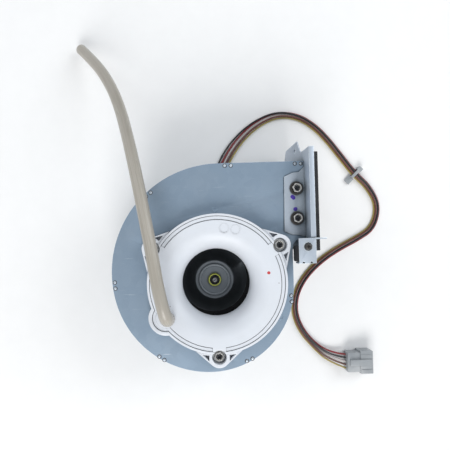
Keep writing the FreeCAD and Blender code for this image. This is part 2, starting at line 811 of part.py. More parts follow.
def ringFrame():
    body = newBody("ring_frame")
    bump = (size.bumpX, size.bumpY)
    pad(body, Drawing(body, lift=plateTop).circle((0, 0), size.ringRadius), size.ringHigh)
    pad(body, Drawing(body, lift=plateTop).circle(bump, size.bumpRadius), size.ringHigh)
    lug = pad(body, lugOutline(Drawing(body, lift=plateTop)), size.lugHigh)
    around(body, [lug], 3)
    inside = size.ringHigh - size.ringFloor
    pocket(body, Drawing(body, lift=ringTop).circle((0, 0), size.ringInside), inside)
    pocket(body, Drawing(body, lift=ringTop).circle(bump, size.bumpInside), inside)
    pocket(body, Drawing(body, lift=ringTop).circle((0, 0), size.ringBore), size.ringHigh)
    lugTop = plateTop + size.lugHigh
    seat = pocket(body, Drawing(body, lift=ringTop).circle(lugPlaces[0], size.lugPocket), size.lugDeep)
    hole = pocket(body, Drawing(body, lift=ringTop).circle(lugPlaces[0], size.screwHole), size.ringHigh)
    webs = pocket(body, webPockets(Drawing(body, lift=lugTop)), 6)
    around(body, [seat, hole, webs], 3)
    foot = plateTop
    groove(body, Drawing(body, "XZ_Plane").box(47.4, foot, 50.6, foot + 1.25))
    turnedPiece("ring_seal", [(47.5, foot), (50.5, foot), (50.5, foot + 1.2), (47.5, foot + 1.2)])


def inletCover():
    body = newBody("inlet_cover")
    throat = size.throatRadius
    curve = size.mouthRadius
    wall = size.coverWall
    mouth = throat + curve
    low = ringTop - curve
    rim = size.ringInside - size.partGap
    floor = plateTop + size.ringFloor + 0.2
    step = ringTop - size.stepDeep
    section = Drawing(body, "XZ_Plane")
    section.arc((mouth, low), curve, 90, 180)
    section.arc((mouth, low), curve - wall, 90, 180)
    outline = [(mouth, ringTop), (size.stepRadius, ringTop), (size.stepRadius, step), (rim, step)]
    outline += [(rim, floor), (rim - wall, floor), (rim - wall, ringTop - wall), (mouth, ringTop - wall)]
    for start, end in zip(outline, outline[1:]):
        section.line(start, end)
    end = low - size.throatLong
    section.line((throat, low), (throat, end)).line((throat, end), (throat + wall, end))
    section.line((throat + wall, end), (throat + wall, low))
    revolve(body, section)
    bump = Drawing(body, lift=floor).circle((size.bumpX, size.bumpY), size.bumpInside - size.partGap)
    pad(body, bump, ringTop - 1 - floor)
    nipple = Drawing(body, lift=floor).circle((size.nippleX, size.nippleY), size.nippleRadius)
    pad(body, nipple, size.nippleTip - floor)
    bore = Drawing(body, lift=size.nippleTip).circle((size.nippleX, size.nippleY), size.nippleBore)
    pocket(body, bore, size.nippleTip - floor)
    notch = Drawing(body, lift=ringTop).circle(lugPlaces[0], size.lugPocket + 0.3)
    around(body, [pocket(body, notch, size.ringHigh)], 3)


def fasteners():
    thick = size.washerThick
    hole = size.screwHole
    washer("ring_washers", lugPlaces, hole + 0.1, size.ringWasher, lugSeat, thick)
    screws("ring_screws", lugPlaces, lugSeat + thick, lugSeat + thick - plateTop + 4)
    tabTop = plateTop + size.sheetThick
    washer("flange_washers", flangeScrewPlaces, hole + 0.1, size.flangeWasher, tabTop, thick)
    screws("flange_screws", flangeScrewPlaces, tabTop + thick, asSize(6))


# ---- hose and wires -----------------------------------------------------------------------------


def roundedPath(points):
    """Straight runs joined by tangent arcs, each as large as its two runs allow."""
    edges = []
    radii = []
    start = points[0]
    for before, corner, after in zip(points, points[1:], points[2:]):
        back = before - corner
        ahead = after - corner
        shorter = min(back.Length, ahead.Length)
        half = (math.pi - back.getAngle(ahead)) / 2
        radii.append(0.45 * shorter / math.tan(half))
        back.normalize()
        ahead.normalize()
        arcStart = corner + back * (0.45 * shorter)
        arcEnd = corner + ahead * (0.45 * shorter)
        inward = back + ahead
        inward.normalize()
        toCentre = radii[-1] / math.cos(half)
        arcMiddle = corner + inward * (toCentre - radii[-1])
        edges.append(Part.LineSegment(start, arcStart).toShape())
        edges.append(Part.Arc(arcStart, arcMiddle, arcEnd).toShape())
        start = arcEnd
    edges.append(Part.LineSegment(start, points[-1]).toShape())
    return Part.Wire(edges), radii


def tube(name, route, outer, bore=0):
    points = [Vector(*place) for place in route]
    path, radii = roundedPath(points)
    tangent = points[1] - points[0]
    tangent.normalize()
    section = Part.Face(Part.Wire(Part.makeCircle(outer, points[0], tangent)))
    if bore:
        section = section.cut(Part.Face(Part.Wire(Part.makeCircle(bore, points[0], tangent))))
        section = section.Faces[0]
    solid = path.makePipe(section)
    if not solid.Solids:
        solid = Part.makeSolid(solid)
    share = solid.Volume / (section.Area * path.Length)
    print(f"{name}: length {path.Length:.0f}, radii {[round(r) for r in radii]}, volume share {share:.3f}")
    feature = doc.addObject("Part::Feature", "Tube")
    feature.Shape = solid
    feature.Label = name
    bodies.append(feature)


# The hose rises from the nipple, bends over the ring and droops to the floor.
hoseRoute = [
    (-40.4, -26.8, 91.0), (-40.4, -26.8, 101.6), (-42.6, -18.4, 109.2), (-46.6, 0.6, 109.5),
    (-49.9, 23.6, 108.5), (-53.8, 46.2, 106.0), (-59.0, 74.2, 100.0), (-64.6, 101.0, 91.0),
    (-70.0, 123.4, 80.5), (-76.4, 147.0, 67.0), (-86.2, 173.0, 50.0), (-102.6, 202.4, 28.5),
    (-122.6, 226.4, 7.0),
]

# The harness leaves the grommet, runs out under the scroll and loops over the floor to its plug.
harnessRoute = [
    (0, 47.6, 12.0), (0.8, 61, 11.0), (4.5, 78, 6.2), (9.2, 97, 1.0), (18.5, 118, 1.0), (32.5, 136.4, 1.0),
    (49.6, 150.4, 1.0), (69.5, 158.6, 1.0), (89.6, 156.0, 1.0), (106.5, 145.2, 1.0), (120.2, 130, 1.0),
    (132, 113.6, 1.4), (144.2, 96.8, 2.1), (158.6, 82.8, 1.4), (167.4, 64.2, 1.0), (161.6, 42.6, 1.0),
    (145.3, 32.6, 1.0), (127, 23.6, 1.0), (109.2, 12.4, 1.0), (93.2, -2.6, 1.0), (82.8, -20.4, 1.0),
    (80.6, -39.6, 1.0), (87, -57.4, 1.0), (99.4, -72.6, 1.0), (114.2, -84.4, 3.2), (128.8, -87.9, 6.6),
]

# Each wire: its place across the harness at five stations along it, left positive, and the height it
# rides at over the floor there. Two wires lie in the valleys of the other three.
stations = (0, 4, 8, 23, 25)
wireLanes = {
    "wire_black": ((4.0, 5.4, 1.2, 1.2, 3.4), (0, 0, 1.6, 1.6, 0)),
    "wire_red": ((2.0, 2.4, 2.5, 2.5, 6.8), (0, 0, 0, 0, 0)),
    "wire_white": ((0.0, 0.2, 0.0, 0.0, 0.0), (0, 0, 0, 0, 0)),
    "wire_brown": ((-2.0, -2.0, -1.2, -1.2, -3.4), (0, 0, 1.6, 1.6, 0)),
    "wire_yellow": ((-4.0, -4.4, -2.5, -2.5, -6.8), (0, 0, 0, 0, 0)),
}


def between(place, values):
    """The value at a point of the route, in proportion between the two stations round it."""
    for low, high, start, end in zip(stations, stations[1:], values, values[1:]):
        if place <= high:
            return start + (end - start) * (place - low) / (high - low)
    return values[-1]


def wireRoute(lanes, heights):
    route = []
    last = len(harnessRoute) - 1
    for place, (x, y, z) in enumerate(harnessRoute):
        before = harnessRoute[max(place - 1, 0)]
        after = harnessRoute[min(place + 1, last)]
        along = math.atan2(after[1] - before[1], after[0] - before[0])
        if place == 0:
            along = math.pi / 2
        if place == last:
            along = 0
        across = between(place, lanes)
        lift = between(place, heights)
        if lift and 4 < place < 8:
            lift += 0.8
        route.append((x - across * math.sin(along), y + across * math.cos(along), z + lift))
    return route


def cords():
    tube("hose", hoseRoute, size.hoseRadius.value, size.hoseBore.value)
    for name, (lanes, heights) in wireLanes.items():
        tube(name, wireRoute(lanes, heights), size.wireRadius.value)


def connector():
    body = newBody("connector_housing")
    foot = size.plugFoot
    left = size.plugX
    right = left + size.plugLong
    middle = size.plugY
    half = size.plugWide / 2
    shoulder = left + size.plugLong / 2
    pad(body, Drawing(body, lift=foot + 1).box(left, middle - half, right, middle + half), size.plugHigh)
    collar = Drawing(body, lift=foot).box(shoulder, middle - half - 1.5, right, middle + half + 1.5)
    pad(body, collar, size.plugHigh + 2)
    latch = Drawing(body, lift=foot + 13).box(left + 2, middle - 3, right - 1, middle + 3)
    pad(body, latch, 2.2)
    cells = Drawing(body, "YZ_Plane", lift=right)
    for row in (4.6, 9.6):
        for column in (-5.8, 0, 5.8):
            cells.box(middle + column - 1.8, foot + row - 1.8, middle + column + 1.8, foot + row + 1.8)
    pocket(body, cells, 14)
    pins = newBody("connector_terminals")
    sockets = Drawing(pins, "YZ_Plane", lift=right - 14)
    for row in (4.6, 9.6):
        for column in (-5.8, 0, 5.8):
            sockets.box(middle + column - 1.1, foot + row - 1.1, middle + column + 1.1, foot + row + 1.1)
    pad(pins, sockets, 10)


def cableTie():
    """A nylon strap round the harness, with its lock head on one side and a flat tail."""
    body = newBody("cable_tie")
    strap = Drawing(body, "YZ_Plane", lift=-1.4)
    strap.box(-4.8, 0, 4.8, 5.4).box(-3.9, 0.8, 3.9, 4.6)
    pad(body, strap, 2.8)
    pad(body, Drawing(body, lift=0.6).box(-2.4, 4.4, 2.4, 8.6), 4.6)
    pad(body, Drawing(body, lift=0.6).box(-3.0, -11.4, 3.0, -4.4), 1.2)
    body.Placement = FreeCAD.Placement(Vector(144.6, 96.5, 0), FreeCAD.Rotation(Vector(0, 0, 1), -46))


# ---- build, check and write ---------------------------------------------------------------------

motorRearCap()
motorCan()
motorInside()
motorScrews()
wireGrommet()
shaft()
backDisc()
blades()
shroud()
hub()
scroll()
stakeHeads()
outletFlange()
outletGasket()
cornerBracket()
ringFrame()
inletCover()
fasteners()
cords()
connector()
cableTie()
doc.recompute()

for thing in doc.Objects:
    if "Invalid" in thing.State or "Error" in thing.State:
        raise RuntimeError(f"{thing.Label} failed: {thing.State}")
names = [body.Label for body in bodies]
if len(set(names)) != len(names) or len(names) > 60:
    raise RuntimeError("node names repeat, or there are too many")

os.makedirs("parts", exist_ok=True)
for body in bodies:
    if body.Shape.isNull() or not body.Shape.isValid() or not body.Shape.Solids:
        raise RuntimeError(f"{body.Label} has no valid solid")
    body.Shape.exportStep(f"parts/{body.Label}.step")
print(len(bodies), "pieces written")
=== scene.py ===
import math

import bpy
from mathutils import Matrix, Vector


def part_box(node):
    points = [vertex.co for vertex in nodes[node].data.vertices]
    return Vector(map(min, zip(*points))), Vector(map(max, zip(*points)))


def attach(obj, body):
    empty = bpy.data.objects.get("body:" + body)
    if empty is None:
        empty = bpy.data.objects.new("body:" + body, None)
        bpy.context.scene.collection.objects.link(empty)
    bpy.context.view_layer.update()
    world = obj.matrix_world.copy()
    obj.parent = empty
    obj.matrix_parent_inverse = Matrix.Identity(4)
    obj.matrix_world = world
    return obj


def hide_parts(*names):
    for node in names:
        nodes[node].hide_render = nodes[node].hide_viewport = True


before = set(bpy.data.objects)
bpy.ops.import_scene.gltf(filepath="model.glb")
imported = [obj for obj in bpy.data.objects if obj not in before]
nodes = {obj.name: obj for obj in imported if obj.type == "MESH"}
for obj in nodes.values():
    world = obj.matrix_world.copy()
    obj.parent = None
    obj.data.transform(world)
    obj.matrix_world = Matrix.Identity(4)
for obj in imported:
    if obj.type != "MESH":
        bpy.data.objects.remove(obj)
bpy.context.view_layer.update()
mm = 0.001
print("frame loaded:", len(nodes), "pieces from the design")


# Camera, floor and light.

cameraLook = {
    "place": (-0.02095, 0.03584, 0.450),
    "turn": -1.7,  # degrees about the line of sight
    "lens": 36.0,
    "shift": (0.0778, 0.0333),
}
floorLook = {"side": 12.0, "low": (0.80, 0.80, 0.80), "high": (0.84, 0.84, 0.84)}
lampLook = {
    # place, aim, side, power, colour
    "key": ((-0.15, -1.25, 1.10), (0.0, 0.0, 0.05), 0.9, 20.0, (1.0, 0.99, 0.97)),
    "fill": ((1.00, 0.55, 0.90), (0.0, 0.0, 0.05), 0.9, 8.0, (0.95, 0.98, 1.0)),
    "back": ((-0.90, 0.80, 0.95), (0.0, 0.0, 0.05), 0.9, 5.0, (0.95, 0.98, 1.0)),
}
skyLook = {"wall": (0.93, 0.94, 0.95), "ceiling": (0.44, 0.455, 0.475), "wallFoot": 0.05, "wallTop": 0.6}


def linked(name, data):
    piece = bpy.data.objects.new(name, data)
    bpy.context.scene.collection.objects.link(piece)
    return piece


def makeCamera():
    camera = linked("studioCamera", bpy.data.cameras.new("studioCamera"))
    camera.location = cameraLook["place"]
    camera.rotation_euler = (0, 0, math.radians(cameraLook["turn"]))
    camera.data.lens = cameraLook["lens"]
    camera.data.sensor_width = 36.0
    camera.data.shift_x, camera.data.shift_y = cameraLook["shift"]
    camera.data.clip_start = 0.01
    bpy.context.scene.camera = camera
    bpy.context.scene.view_settings.view_transform = "Standard"


def makeLamps():
    for name, (place, aim, side, power, colour) in lampLook.items():
        lamp = linked(name + "Lamp", bpy.data.lights.new(name + "Lamp", "AREA"))
        lamp.location = place
        lamp.rotation_euler = (Vector(aim) - Vector(place)).to_track_quat("-Z", "Y").to_euler()
        lamp.data.size = side
        lamp.data.energy = power
        lamp.data.color = colour
    world = bpy.data.worlds.new("studioSky")
    world.use_nodes = True
    tree = world.node_tree  # pale walls all round, and a darker ceiling
    ahead = addNode(tree, "ShaderNodeTexCoord")["Generated"]
    height = addNode(tree, "ShaderNodeSeparateXYZ", {0: ahead})["Z"]
    rise = addNode(
        tree, "ShaderNodeMapRange", {0: height, 1: skyLook["wallFoot"], 2: skyLook["wallTop"], 3: 0.0, 4: 1.0}
    )[0]
    sky = tint(tree, rise, skyLook["wall"], skyLook["ceiling"])
    tree.links.new(sky, tree.nodes["Background"].inputs["Color"])
    bpy.context.scene.world = world


makeCamera()
print("camera placed")


# Cords: the pressure hose and the five wires.

hoseLook = {
    "diameter": 10.0 * mm,
    "wall": 1.7 * mm,
    "length": 0.305,
    "swell": (1.15, 1.10, 1.0),  # the first points, where the nipple stretches it
    "route": [
        (-0.0404, -0.0268, 0.0910), (-0.0404, -0.0268, 0.1016), (-0.0426, -0.0184, 0.1092),
        (-0.0466, 0.0006, 0.1095), (-0.0499, 0.0236, 0.1085), (-0.0538, 0.0462, 0.1060),
        (-0.0590, 0.0742, 0.1000), (-0.0646, 0.1010, 0.0910), (-0.0700, 0.1234, 0.0805),
        (-0.0764, 0.1470, 0.0670), (-0.0862, 0.1730, 0.0500), (-0.1026, 0.2024, 0.0285),
        (-0.1226, 0.2264, 0.0070),
    ],
}
harnessLook = {
    "diameter": 1.7 * mm,
    "length": 0.490,
    "stations": (0, 4, 8, 23, 25),
    # places across the harness and heights over the floor, at the stations along it
    "lanes": {
        "black": ((0.0040, 0.0054, 0.0012, 0.0012, 0.0034), (0, 0, 0.0016, 0.0016, 0)),
        "red": ((0.0020, 0.0024, 0.0025, 0.0025, 0.0068), (0, 0, 0, 0, 0)),
        "white": ((0.0, 0.0002, 0.0, 0.0, 0.0), (0, 0, 0, 0, 0)),
        "brown": ((-0.0020, -0.0020, -0.0012, -0.0012, -0.0034), (0, 0, 0.0016, 0.0016, 0)),
        "yellow": ((-0.0040, -0.0044, -0.0025, -0.0025, -0.0068), (0, 0, 0, 0, 0)),
    },
    "route": [
        (0.0, 0.0476, 0.0120), (0.0008, 0.0610, 0.0110), (0.0045, 0.0780, 0.0062),
        (0.0092, 0.0970, 0.0010), (0.0185, 0.1180, 0.0010), (0.0325, 0.1364, 0.0010),
        (0.0496, 0.1504, 0.0010), (0.0695, 0.1586, 0.0010), (0.0896, 0.1560, 0.0010),
        (0.1065, 0.1452, 0.0010), (0.1202, 0.1300, 0.0010), (0.1320, 0.1136, 0.0014),
        (0.1442, 0.0968, 0.0021), (0.1586, 0.0828, 0.0014), (0.1674, 0.0642, 0.0010),
        (0.1616, 0.0426, 0.0010), (0.1453, 0.0326, 0.0010), (0.1270, 0.0236, 0.0010),
        (0.1092, 0.0124, 0.0010), (0.0932, -0.0026, 0.0010), (0.0828, -0.0204, 0.0010),
        (0.0806, -0.0396, 0.0010), (0.0870, -0.0574, 0.0010), (0.0994, -0.0726, 0.0010),
        (0.1142, -0.0844, 0.0032), (0.1288, -0.0879, 0.0066),
    ],
}


def routeCurve(name, route):
    curve = bpy.data.curves.new(name, "CURVE")
    curve.dimensions = "3D"
    spline = curve.splines.new("NURBS")
    spline.points.add(len(route) - 1)
    for point, place in zip(spline.points, route):
        point.co = (*place, 1)
    spline.order_u = 3
    spline.use_endpoint_u = True
    curve.resolution_u = 14
    return linked(name, curve)


def centreLine(piece):
    shown = piece.evaluated_get(bpy.context.evaluated_depsgraph_get())
    line = bpy.data.meshes.new_from_object(shown)
    places = [tuple(vertex.co) for vertex in line.vertices]
    bpy.data.meshes.remove(line)
    return places


def makeHose():
    hose = routeCurve("pressureHose", hoseLook["route"])
    path = centreLine(hose)
    for point, swell in zip(hose.data.splines[0].points, hoseLook["swell"]):
        point.radius = swell
    hose.data.bevel_depth = hoseLook["diameter"] / 2
    hose.data.bevel_resolution = 7
    hose.data.use_fill_caps = False
    pick(hose)
    bpy.ops.object.convert(target="MESH")
    hose = bpy.context.object
    finishMesh(hose, merge=1e-7)
    applied(hose, "SOLIDIFY", thickness=hoseLook["wall"], offset=-1, use_rim=True)
    rounded(hose, 0.25 * mm, 2, 50)
    smoothed(hose)
    return hose


def between(place, values):
    stations = harnessLook["stations"]
    for low, high, start, end in zip(stations, stations[1:], values, values[1:]):
        if place <= high:
            return start + (end - start) * (place - low) / (high - low)
    return values[-1]


def wireRoute(lanes, heights):
    harness = harnessLook["route"]
    last = len(harness) - 1
    route = []
    for place, (x, y, z) in enumerate(harness):
        before = harness[max(place - 1, 0)]
        after = harness[min(place + 1, last)]
        along = math.atan2(after[1] - before[1], after[0] - before[0])
        if place == 0:
            along = math.pi / 2
        if place == last:
            along = 0
        across = between(place, lanes)
        lift = between(place, heights)
        if lift and 4 < place < 8:  # the upper wires climb onto the others here
            lift += 0.0008
        route.append((x - across * math.sin(along), y + across * math.cos(along), z + lift))
    return route


def makeWire(colour):
    route = wireRoute(*harnessLook["lanes"][colour])
    wire = routeCurve(colour + "Wire", route)
    wire.data.bevel_depth = harnessLook["diameter"] / 2
    wire.data.bevel_resolution = 4
    wire.data.use_fill_caps = True
    return wire


# Ways of working on a piece.


def clearPick():
    if bpy.context.object and bpy.context.object.mode != "OBJECT":
        bpy.ops.object.mode_set(mode="OBJECT")
    bpy.ops.object.select_all(action="DESELECT")


def pick(piece):
    clearPick()
    piece.select_set(True)
    bpy.context.view_layer.objects.active = piece


def edit(piece, chosen="SELECT"):
    pick(piece)
    bpy.ops.object.mode_set(mode="EDIT")
    bpy.ops.mesh.select_mode(type="VERT")
    bpy.ops.mesh.select_all(action=chosen)


def leaveEdit():
    bpy.ops.object.mode_set(mode="OBJECT")


def finishMesh(piece, merge=1e-6, outward=True):
    edit(piece)
    bpy.ops.mesh.remove_doubles(threshold=merge)
    if outward:
        bpy.ops.mesh.normals_make_consistent(inside=False)
    leaveEdit()


def applied(piece, kind, **settings):
    pick(piece)
    modifier = piece.modifiers.new(kind, kind)
    for name, value in settings.items():
        setattr(modifier, name, value)
    bpy.ops.object.modifier_apply(modifier=modifier.name)


def rounded(piece, width, segments=2, degrees=30):
    applied(
        piece, "BEVEL", width=width, segments=segments, limit_method="ANGLE",
        angle_limit=math.radians(degrees), use_clamp_overlap=True, miter_outer="MITER_ARC",
    )


def smoothed(piece, degrees=34):
    pick(piece)
    bpy.ops.object.shade_smooth_by_angle(angle=math.radians(degrees))


def placed(piece):
    pick(piece)
    bpy.ops.object.transform_apply(location=True, rotation=True, scale=True)
    return piece


def cut(piece, cutter, operation="DIFFERENCE"):
    applied(piece, "BOOLEAN", operation=operation, object=cutter, solver="EXACT")
    bpy.data.objects.remove(cutter)


def joined(pieces):
    clearPick()
    for piece in pieces:
        piece.select_set(True)
    bpy.context.view_layer.objects.active = pieces[0]
    bpy.ops.object.join()
    return bpy.context.object


def copied(piece, name, move=(0, 0, 0), turn=0):
    twin = linked(name, piece.data.copy())
    twin.rotation_euler = (0, 0, math.radians(turn))
    twin.location = move
    return placed(twin)


def spun(name, section, centre=(0, 0), steps=96, edge=0.0):
    # A section of (radius, height) places turned round an upright axis.
    # It closes on itself, or on the axis.
    count = len(section)
    edges = [(place, place + 1) for place in range(count - 1)]
    if min(section[0][0], section[-1][0]) > 0:
        edges.append((count - 1, 0))
    mesh = bpy.data.meshes.new(name)
    mesh.from_pydata([(centre[0] + r, centre[1], z) for r, z in section], edges, [])
    piece = linked(name, mesh)
    edit(piece)
    bpy.ops.mesh.spin(steps=steps, angle=2 * math.pi, center=(*centre, 0), axis=(0, 0, 1))
    leaveEdit()
    finishMesh(piece, merge=2e-7)
    if edge:
        rounded(piece, edge)
    smoothed(piece)
    return piece


def block(name, low, high):
    middle = [(a + b) / 2 for a, b in zip(low, high)]
    clearPick()
    bpy.ops.mesh.primitive_cube_add(size=1, location=middle, scale=[b - a for a, b in zip(low, high)])
    piece = bpy.context.object
    piece.name = name
    return placed(piece)


def rod(name, centre, radius, low, high, sides=64):
    clearPick()
    place = (centre[0], centre[1], (low + high) / 2)
    bpy.ops.mesh.primitive_cylinder_add(vertices=sides, radius=radius, depth=high - low, location=place)
    piece = bpy.context.object
    piece.name = name
    return placed(piece)


def softened(node, name, edge, segments=2, degrees=30):
    # The design's own shape with its sharp edges broken.
    piece = linked(name, nodes[node].data.copy())
    piece.data.materials.clear()
    pick(piece)
    bpy.ops.mesh.customdata_custom_splitnormals_clear()
    edit(piece)
    bpy.ops.mesh.remove_doubles(threshold=1e-6)
    bpy.ops.mesh.dissolve_limited(angle_limit=math.radians(0.3))
    leaveEdit()
    rounded(piece, edge, segments, degrees)
    smoothed(piece)
    return piece


def round2d(radius, degrees):
    turn = math.radians(degrees)
    return radius * math.cos(turn), radius * math.sin(turn)


def inlaid(piece, material, chosen):
    # The faces that the test picks take a second finish.
    piece.data.materials.append(material)
    for face in piece.data.polygons:
        if chosen(face):
            face.material_index = len(piece.data.materials) - 1


def fit(piece, material, slot, body, *replaced):
    piece.data.materials.clear()
    piece.data.materials.append(material)
    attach(piece, body)
    if replaced:
        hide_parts(*replaced)
    return piece


# Effects that several finishes share.


def addNode(tree, kind, wires=None, **settings):
    node = tree.nodes.new(kind)
    count = len(tree.nodes)
    node.location = (240 * (count % 7) - 1200, -280 * (count // 7))
    for name, value in settings.items():
        setattr(node, name, value)
    for socket, value in (wires or {}).items():
        if isinstance(value, bpy.types.NodeSocket):
            tree.links.new(value, node.inputs[socket])
        else:
            node.inputs[socket].default_value = value
    return node.outputs


def newEffect(name, inputs, outputs):
    group = bpy.data.node_groups.new(name, "ShaderNodeTree")
    for label, value in inputs.items():
        kind = "NodeSocketVector" if isinstance(value, tuple) else "NodeSocketFloat"
        socket = group.interface.new_socket(name=label, in_out="INPUT", socket_type=kind)
        socket.default_value = value
    for label in outputs:
        group.interface.new_socket(name=label, in_out="OUTPUT", socket_type="NodeSocketFloat")
    taken = group.nodes.new("NodeGroupInput").outputs
    given = group.nodes.new("NodeGroupOutput").inputs
    return group, taken, given


def grainEffect():
    # Soft cloudy grain, with the lows and highs pulled apart by Contrast.
    group, taken, given = newEffect(
        "grain", {"Scale": 200.0, "Stretch": (1.0, 1.0, 1.0), "Contrast": 1.5}, ["Mask"]
    )
    place = addNode(group, "ShaderNodeTexCoord")["Object"]
    mapped = addNode(group, "ShaderNodeMapping", {"Vector": place, "Scale": taken["Stretch"]})[0]
    noise = addNode(
        group, "ShaderNodeTexNoise",
        {"Vector": mapped, "Scale": taken["Scale"], "Detail": 5.0, "Roughness": 0.62}
    )[0]
    centred = addNode(group, "ShaderNodeMath", {0: noise, 1: 0.5}, operation="SUBTRACT")[0]
    pulled = addNode(group, "ShaderNodeMath", {0: centred, 1: taken["Contrast"]}, operation="MULTIPLY")[0]
    mask = addNode(group, "ShaderNodeMath", {0: pulled, 1: 0.5}, operation="ADD", use_clamp=True)[0]
    group.links.new(mask, given["Mask"])
    return group


def spangleEffect():
    # The crystals of a hot-dip zinc coat, each a slightly different grey.
    group, taken, given = newEffect("zincSpangle", {"Scale": 160.0, "Amount": 1.0}, ["Mask"])
    place = addNode(group, "ShaderNodeTexCoord")["Object"]
    noise = addNode(group, "ShaderNodeTexNoise", {"Vector": place, "Scale": 300.0, "Detail": 3.0})["Color"]
    bent = addNode(
        group, "ShaderNodeMix", {0: 0.004, 4: place, 5: noise}, data_type="VECTOR"
    )[1]
    crystal = addNode(group, "ShaderNodeTexVoronoi", {"Vector": bent, "Scale": taken["Scale"]})["Color"]
    grey = addNode(group, "ShaderNodeSeparateColor", {0: crystal})[0]
    centred = addNode(group, "ShaderNodeMath", {0: grey, 1: 0.5}, operation="SUBTRACT")[0]
    scaled = addNode(group, "ShaderNodeMath", {0: centred, 1: taken["Amount"]}, operation="MULTIPLY")[0]
    mask = addNode(group, "ShaderNodeMath", {0: scaled, 1: 0.5}, operation="ADD", use_clamp=True)[0]
    group.links.new(mask, given["Mask"])
    return group


def scratchEffect():
    # Sparse hairlines: thin stripes of stretched noise that show only in patches.
    group, taken, given = newEffect(
        "scratches", {"Scale": 60.0, "Turn": (0.0, 0.0, 0.6), "Amount": 0.5}, ["Mask"]
    )
    place = addNode(group, "ShaderNodeTexCoord")["Object"]
    mapped = addNode(
        group, "ShaderNodeMapping", {"Vector": place, "Rotation": taken["Turn"], "Scale": (1.0, 38.0, 38.0)}
    )[0]
    lines = addNode(
        group, "ShaderNodeTexNoise", {"Vector": mapped, "Scale": taken["Scale"], "Detail": 2.0}
    )[0]
    thin = addNode(group, "ShaderNodeMapRange", {0: lines, 1: 0.68, 2: 0.74, 3: 0.0, 4: 1.0})[0]
    patch = addNode(group, "ShaderNodeTexNoise", {"Vector": place, "Scale": 28.0, "Detail": 2.0})[0]
    shown = addNode(
        group, "ShaderNodeMapRange", {0: patch, 1: 0.50, 2: 0.62, 3: 0.0, 4: taken["Amount"]}
    )[0]
    mask = addNode(group, "ShaderNodeMath", {0: thin, 1: shown}, operation="MULTIPLY")[0]
    group.links.new(mask, given["Mask"])
    return group


def wearEffect():
    # Where an edge is rubbed: the rounded normal leans away from the true one, broken up by noise.
    group, taken, given = newEffect("edgeWear", {"Radius": 0.0006, "Amount": 1.0}, ["Mask"])
    soft = addNode(group, "ShaderNodeBevel", {"Radius": taken["Radius"]}, samples=4)[0]
    true = addNode(group, "ShaderNodeNewGeometry")["Normal"]
    match = addNode(group, "ShaderNodeVectorMath", {0: soft, 1: true}, operation="DOT_PRODUCT")["Value"]
    edge = addNode(group, "ShaderNodeMapRange", {0: match, 1: 0.995, 2: 0.90, 3: 0.0, 4: 1.0})[0]
    place = addNode(group, "ShaderNodeTexCoord")["Object"]
    noise = addNode(group, "ShaderNodeTexNoise", {"Vector": place, "Scale": 420.0, "Detail": 4.0})[0]
    broken = addNode(
        group, "ShaderNodeMapRange", {0: noise, 1: 0.35, 2: 0.6, 3: 0.2, 4: taken["Amount"]}
    )[0]
    mask = addNode(group, "ShaderNodeMath", {0: edge, 1: broken}, operation="MULTIPLY", use_clamp=True)[0]
    group.links.new(mask, given["Mask"])
    return group


def dustEffect():
    # Dust settles in clouds on what faces up.
    group, taken, given = newEffect("settledDust", {"Scale": 45.0, "Amount": 0.3}, ["Mask"])
    place = addNode(group, "ShaderNodeTexCoord")["Object"]
    cloud = addNode(
        group, "ShaderNodeTexNoise", {"Vector": place, "Scale": taken["Scale"], "Detail": 6.0}
    )[0]
    patch = addNode(
        group, "ShaderNodeMapRange", {0: cloud, 1: 0.42, 2: 0.72, 3: 0.0, 4: taken["Amount"]}
    )[0]
    normal = addNode(group, "ShaderNodeNewGeometry")["Normal"]
    upward = addNode(group, "ShaderNodeSeparateXYZ", {0: normal})["Z"]
    lying = addNode(group, "ShaderNodeMapRange", {0: upward, 1: 0.1, 2: 0.9, 3: 0.15, 4: 1.0})[0]
    mask = addNode(group, "ShaderNodeMath", {0: patch, 1: lying}, operation="MULTIPLY", use_clamp=True)[0]
    group.links.new(mask, given["Mask"])
    return group


def occlusionShadeEffect():
    # Painted shade in narrow gaps and inner corners: darker where ambient occlusion finds surfaces close by.
    group, taken, given = newEffect("occlusionShade", {"Reach": 0.0012, "Amount": 0.8}, ["Mask"])
    free = addNode(group, "ShaderNodeAmbientOcclusion", {"Distance": taken["Reach"]}, samples=8)["AO"]
    mask = addNode(group, "ShaderNodeMapRange", {0: free, 1: 0.30, 2: 0.92, 3: taken["Amount"], 4: 0.0})[0]
    group.links.new(mask, given["Mask"])
    return group


def speckEffect():
    # Small dark specks, far apart.
    group, taken, given = newEffect("specks", {"Scale": 130.0, "Size": 0.07}, ["Mask"])
    place = addNode(group, "ShaderNodeTexCoord")["Object"]
    cells = addNode(group, "ShaderNodeTexVoronoi", {"Vector": place, "Scale": taken["Scale"]})
    chance = addNode(group, "ShaderNodeSeparateColor", {0: cells["Color"]})[1]
    rare = addNode(group, "ShaderNodeMath", {0: chance, 1: 0.86}, operation="GREATER_THAN")[0]
    near = addNode(
        group, "ShaderNodeMath", {0: cells["Distance"], 1: taken["Size"]}, operation="LESS_THAN"
    )[0]
    mask = addNode(group, "ShaderNodeMath", {0: rare, 1: near}, operation="MULTIPLY")[0]
    group.links.new(mask, given["Mask"])
    return group


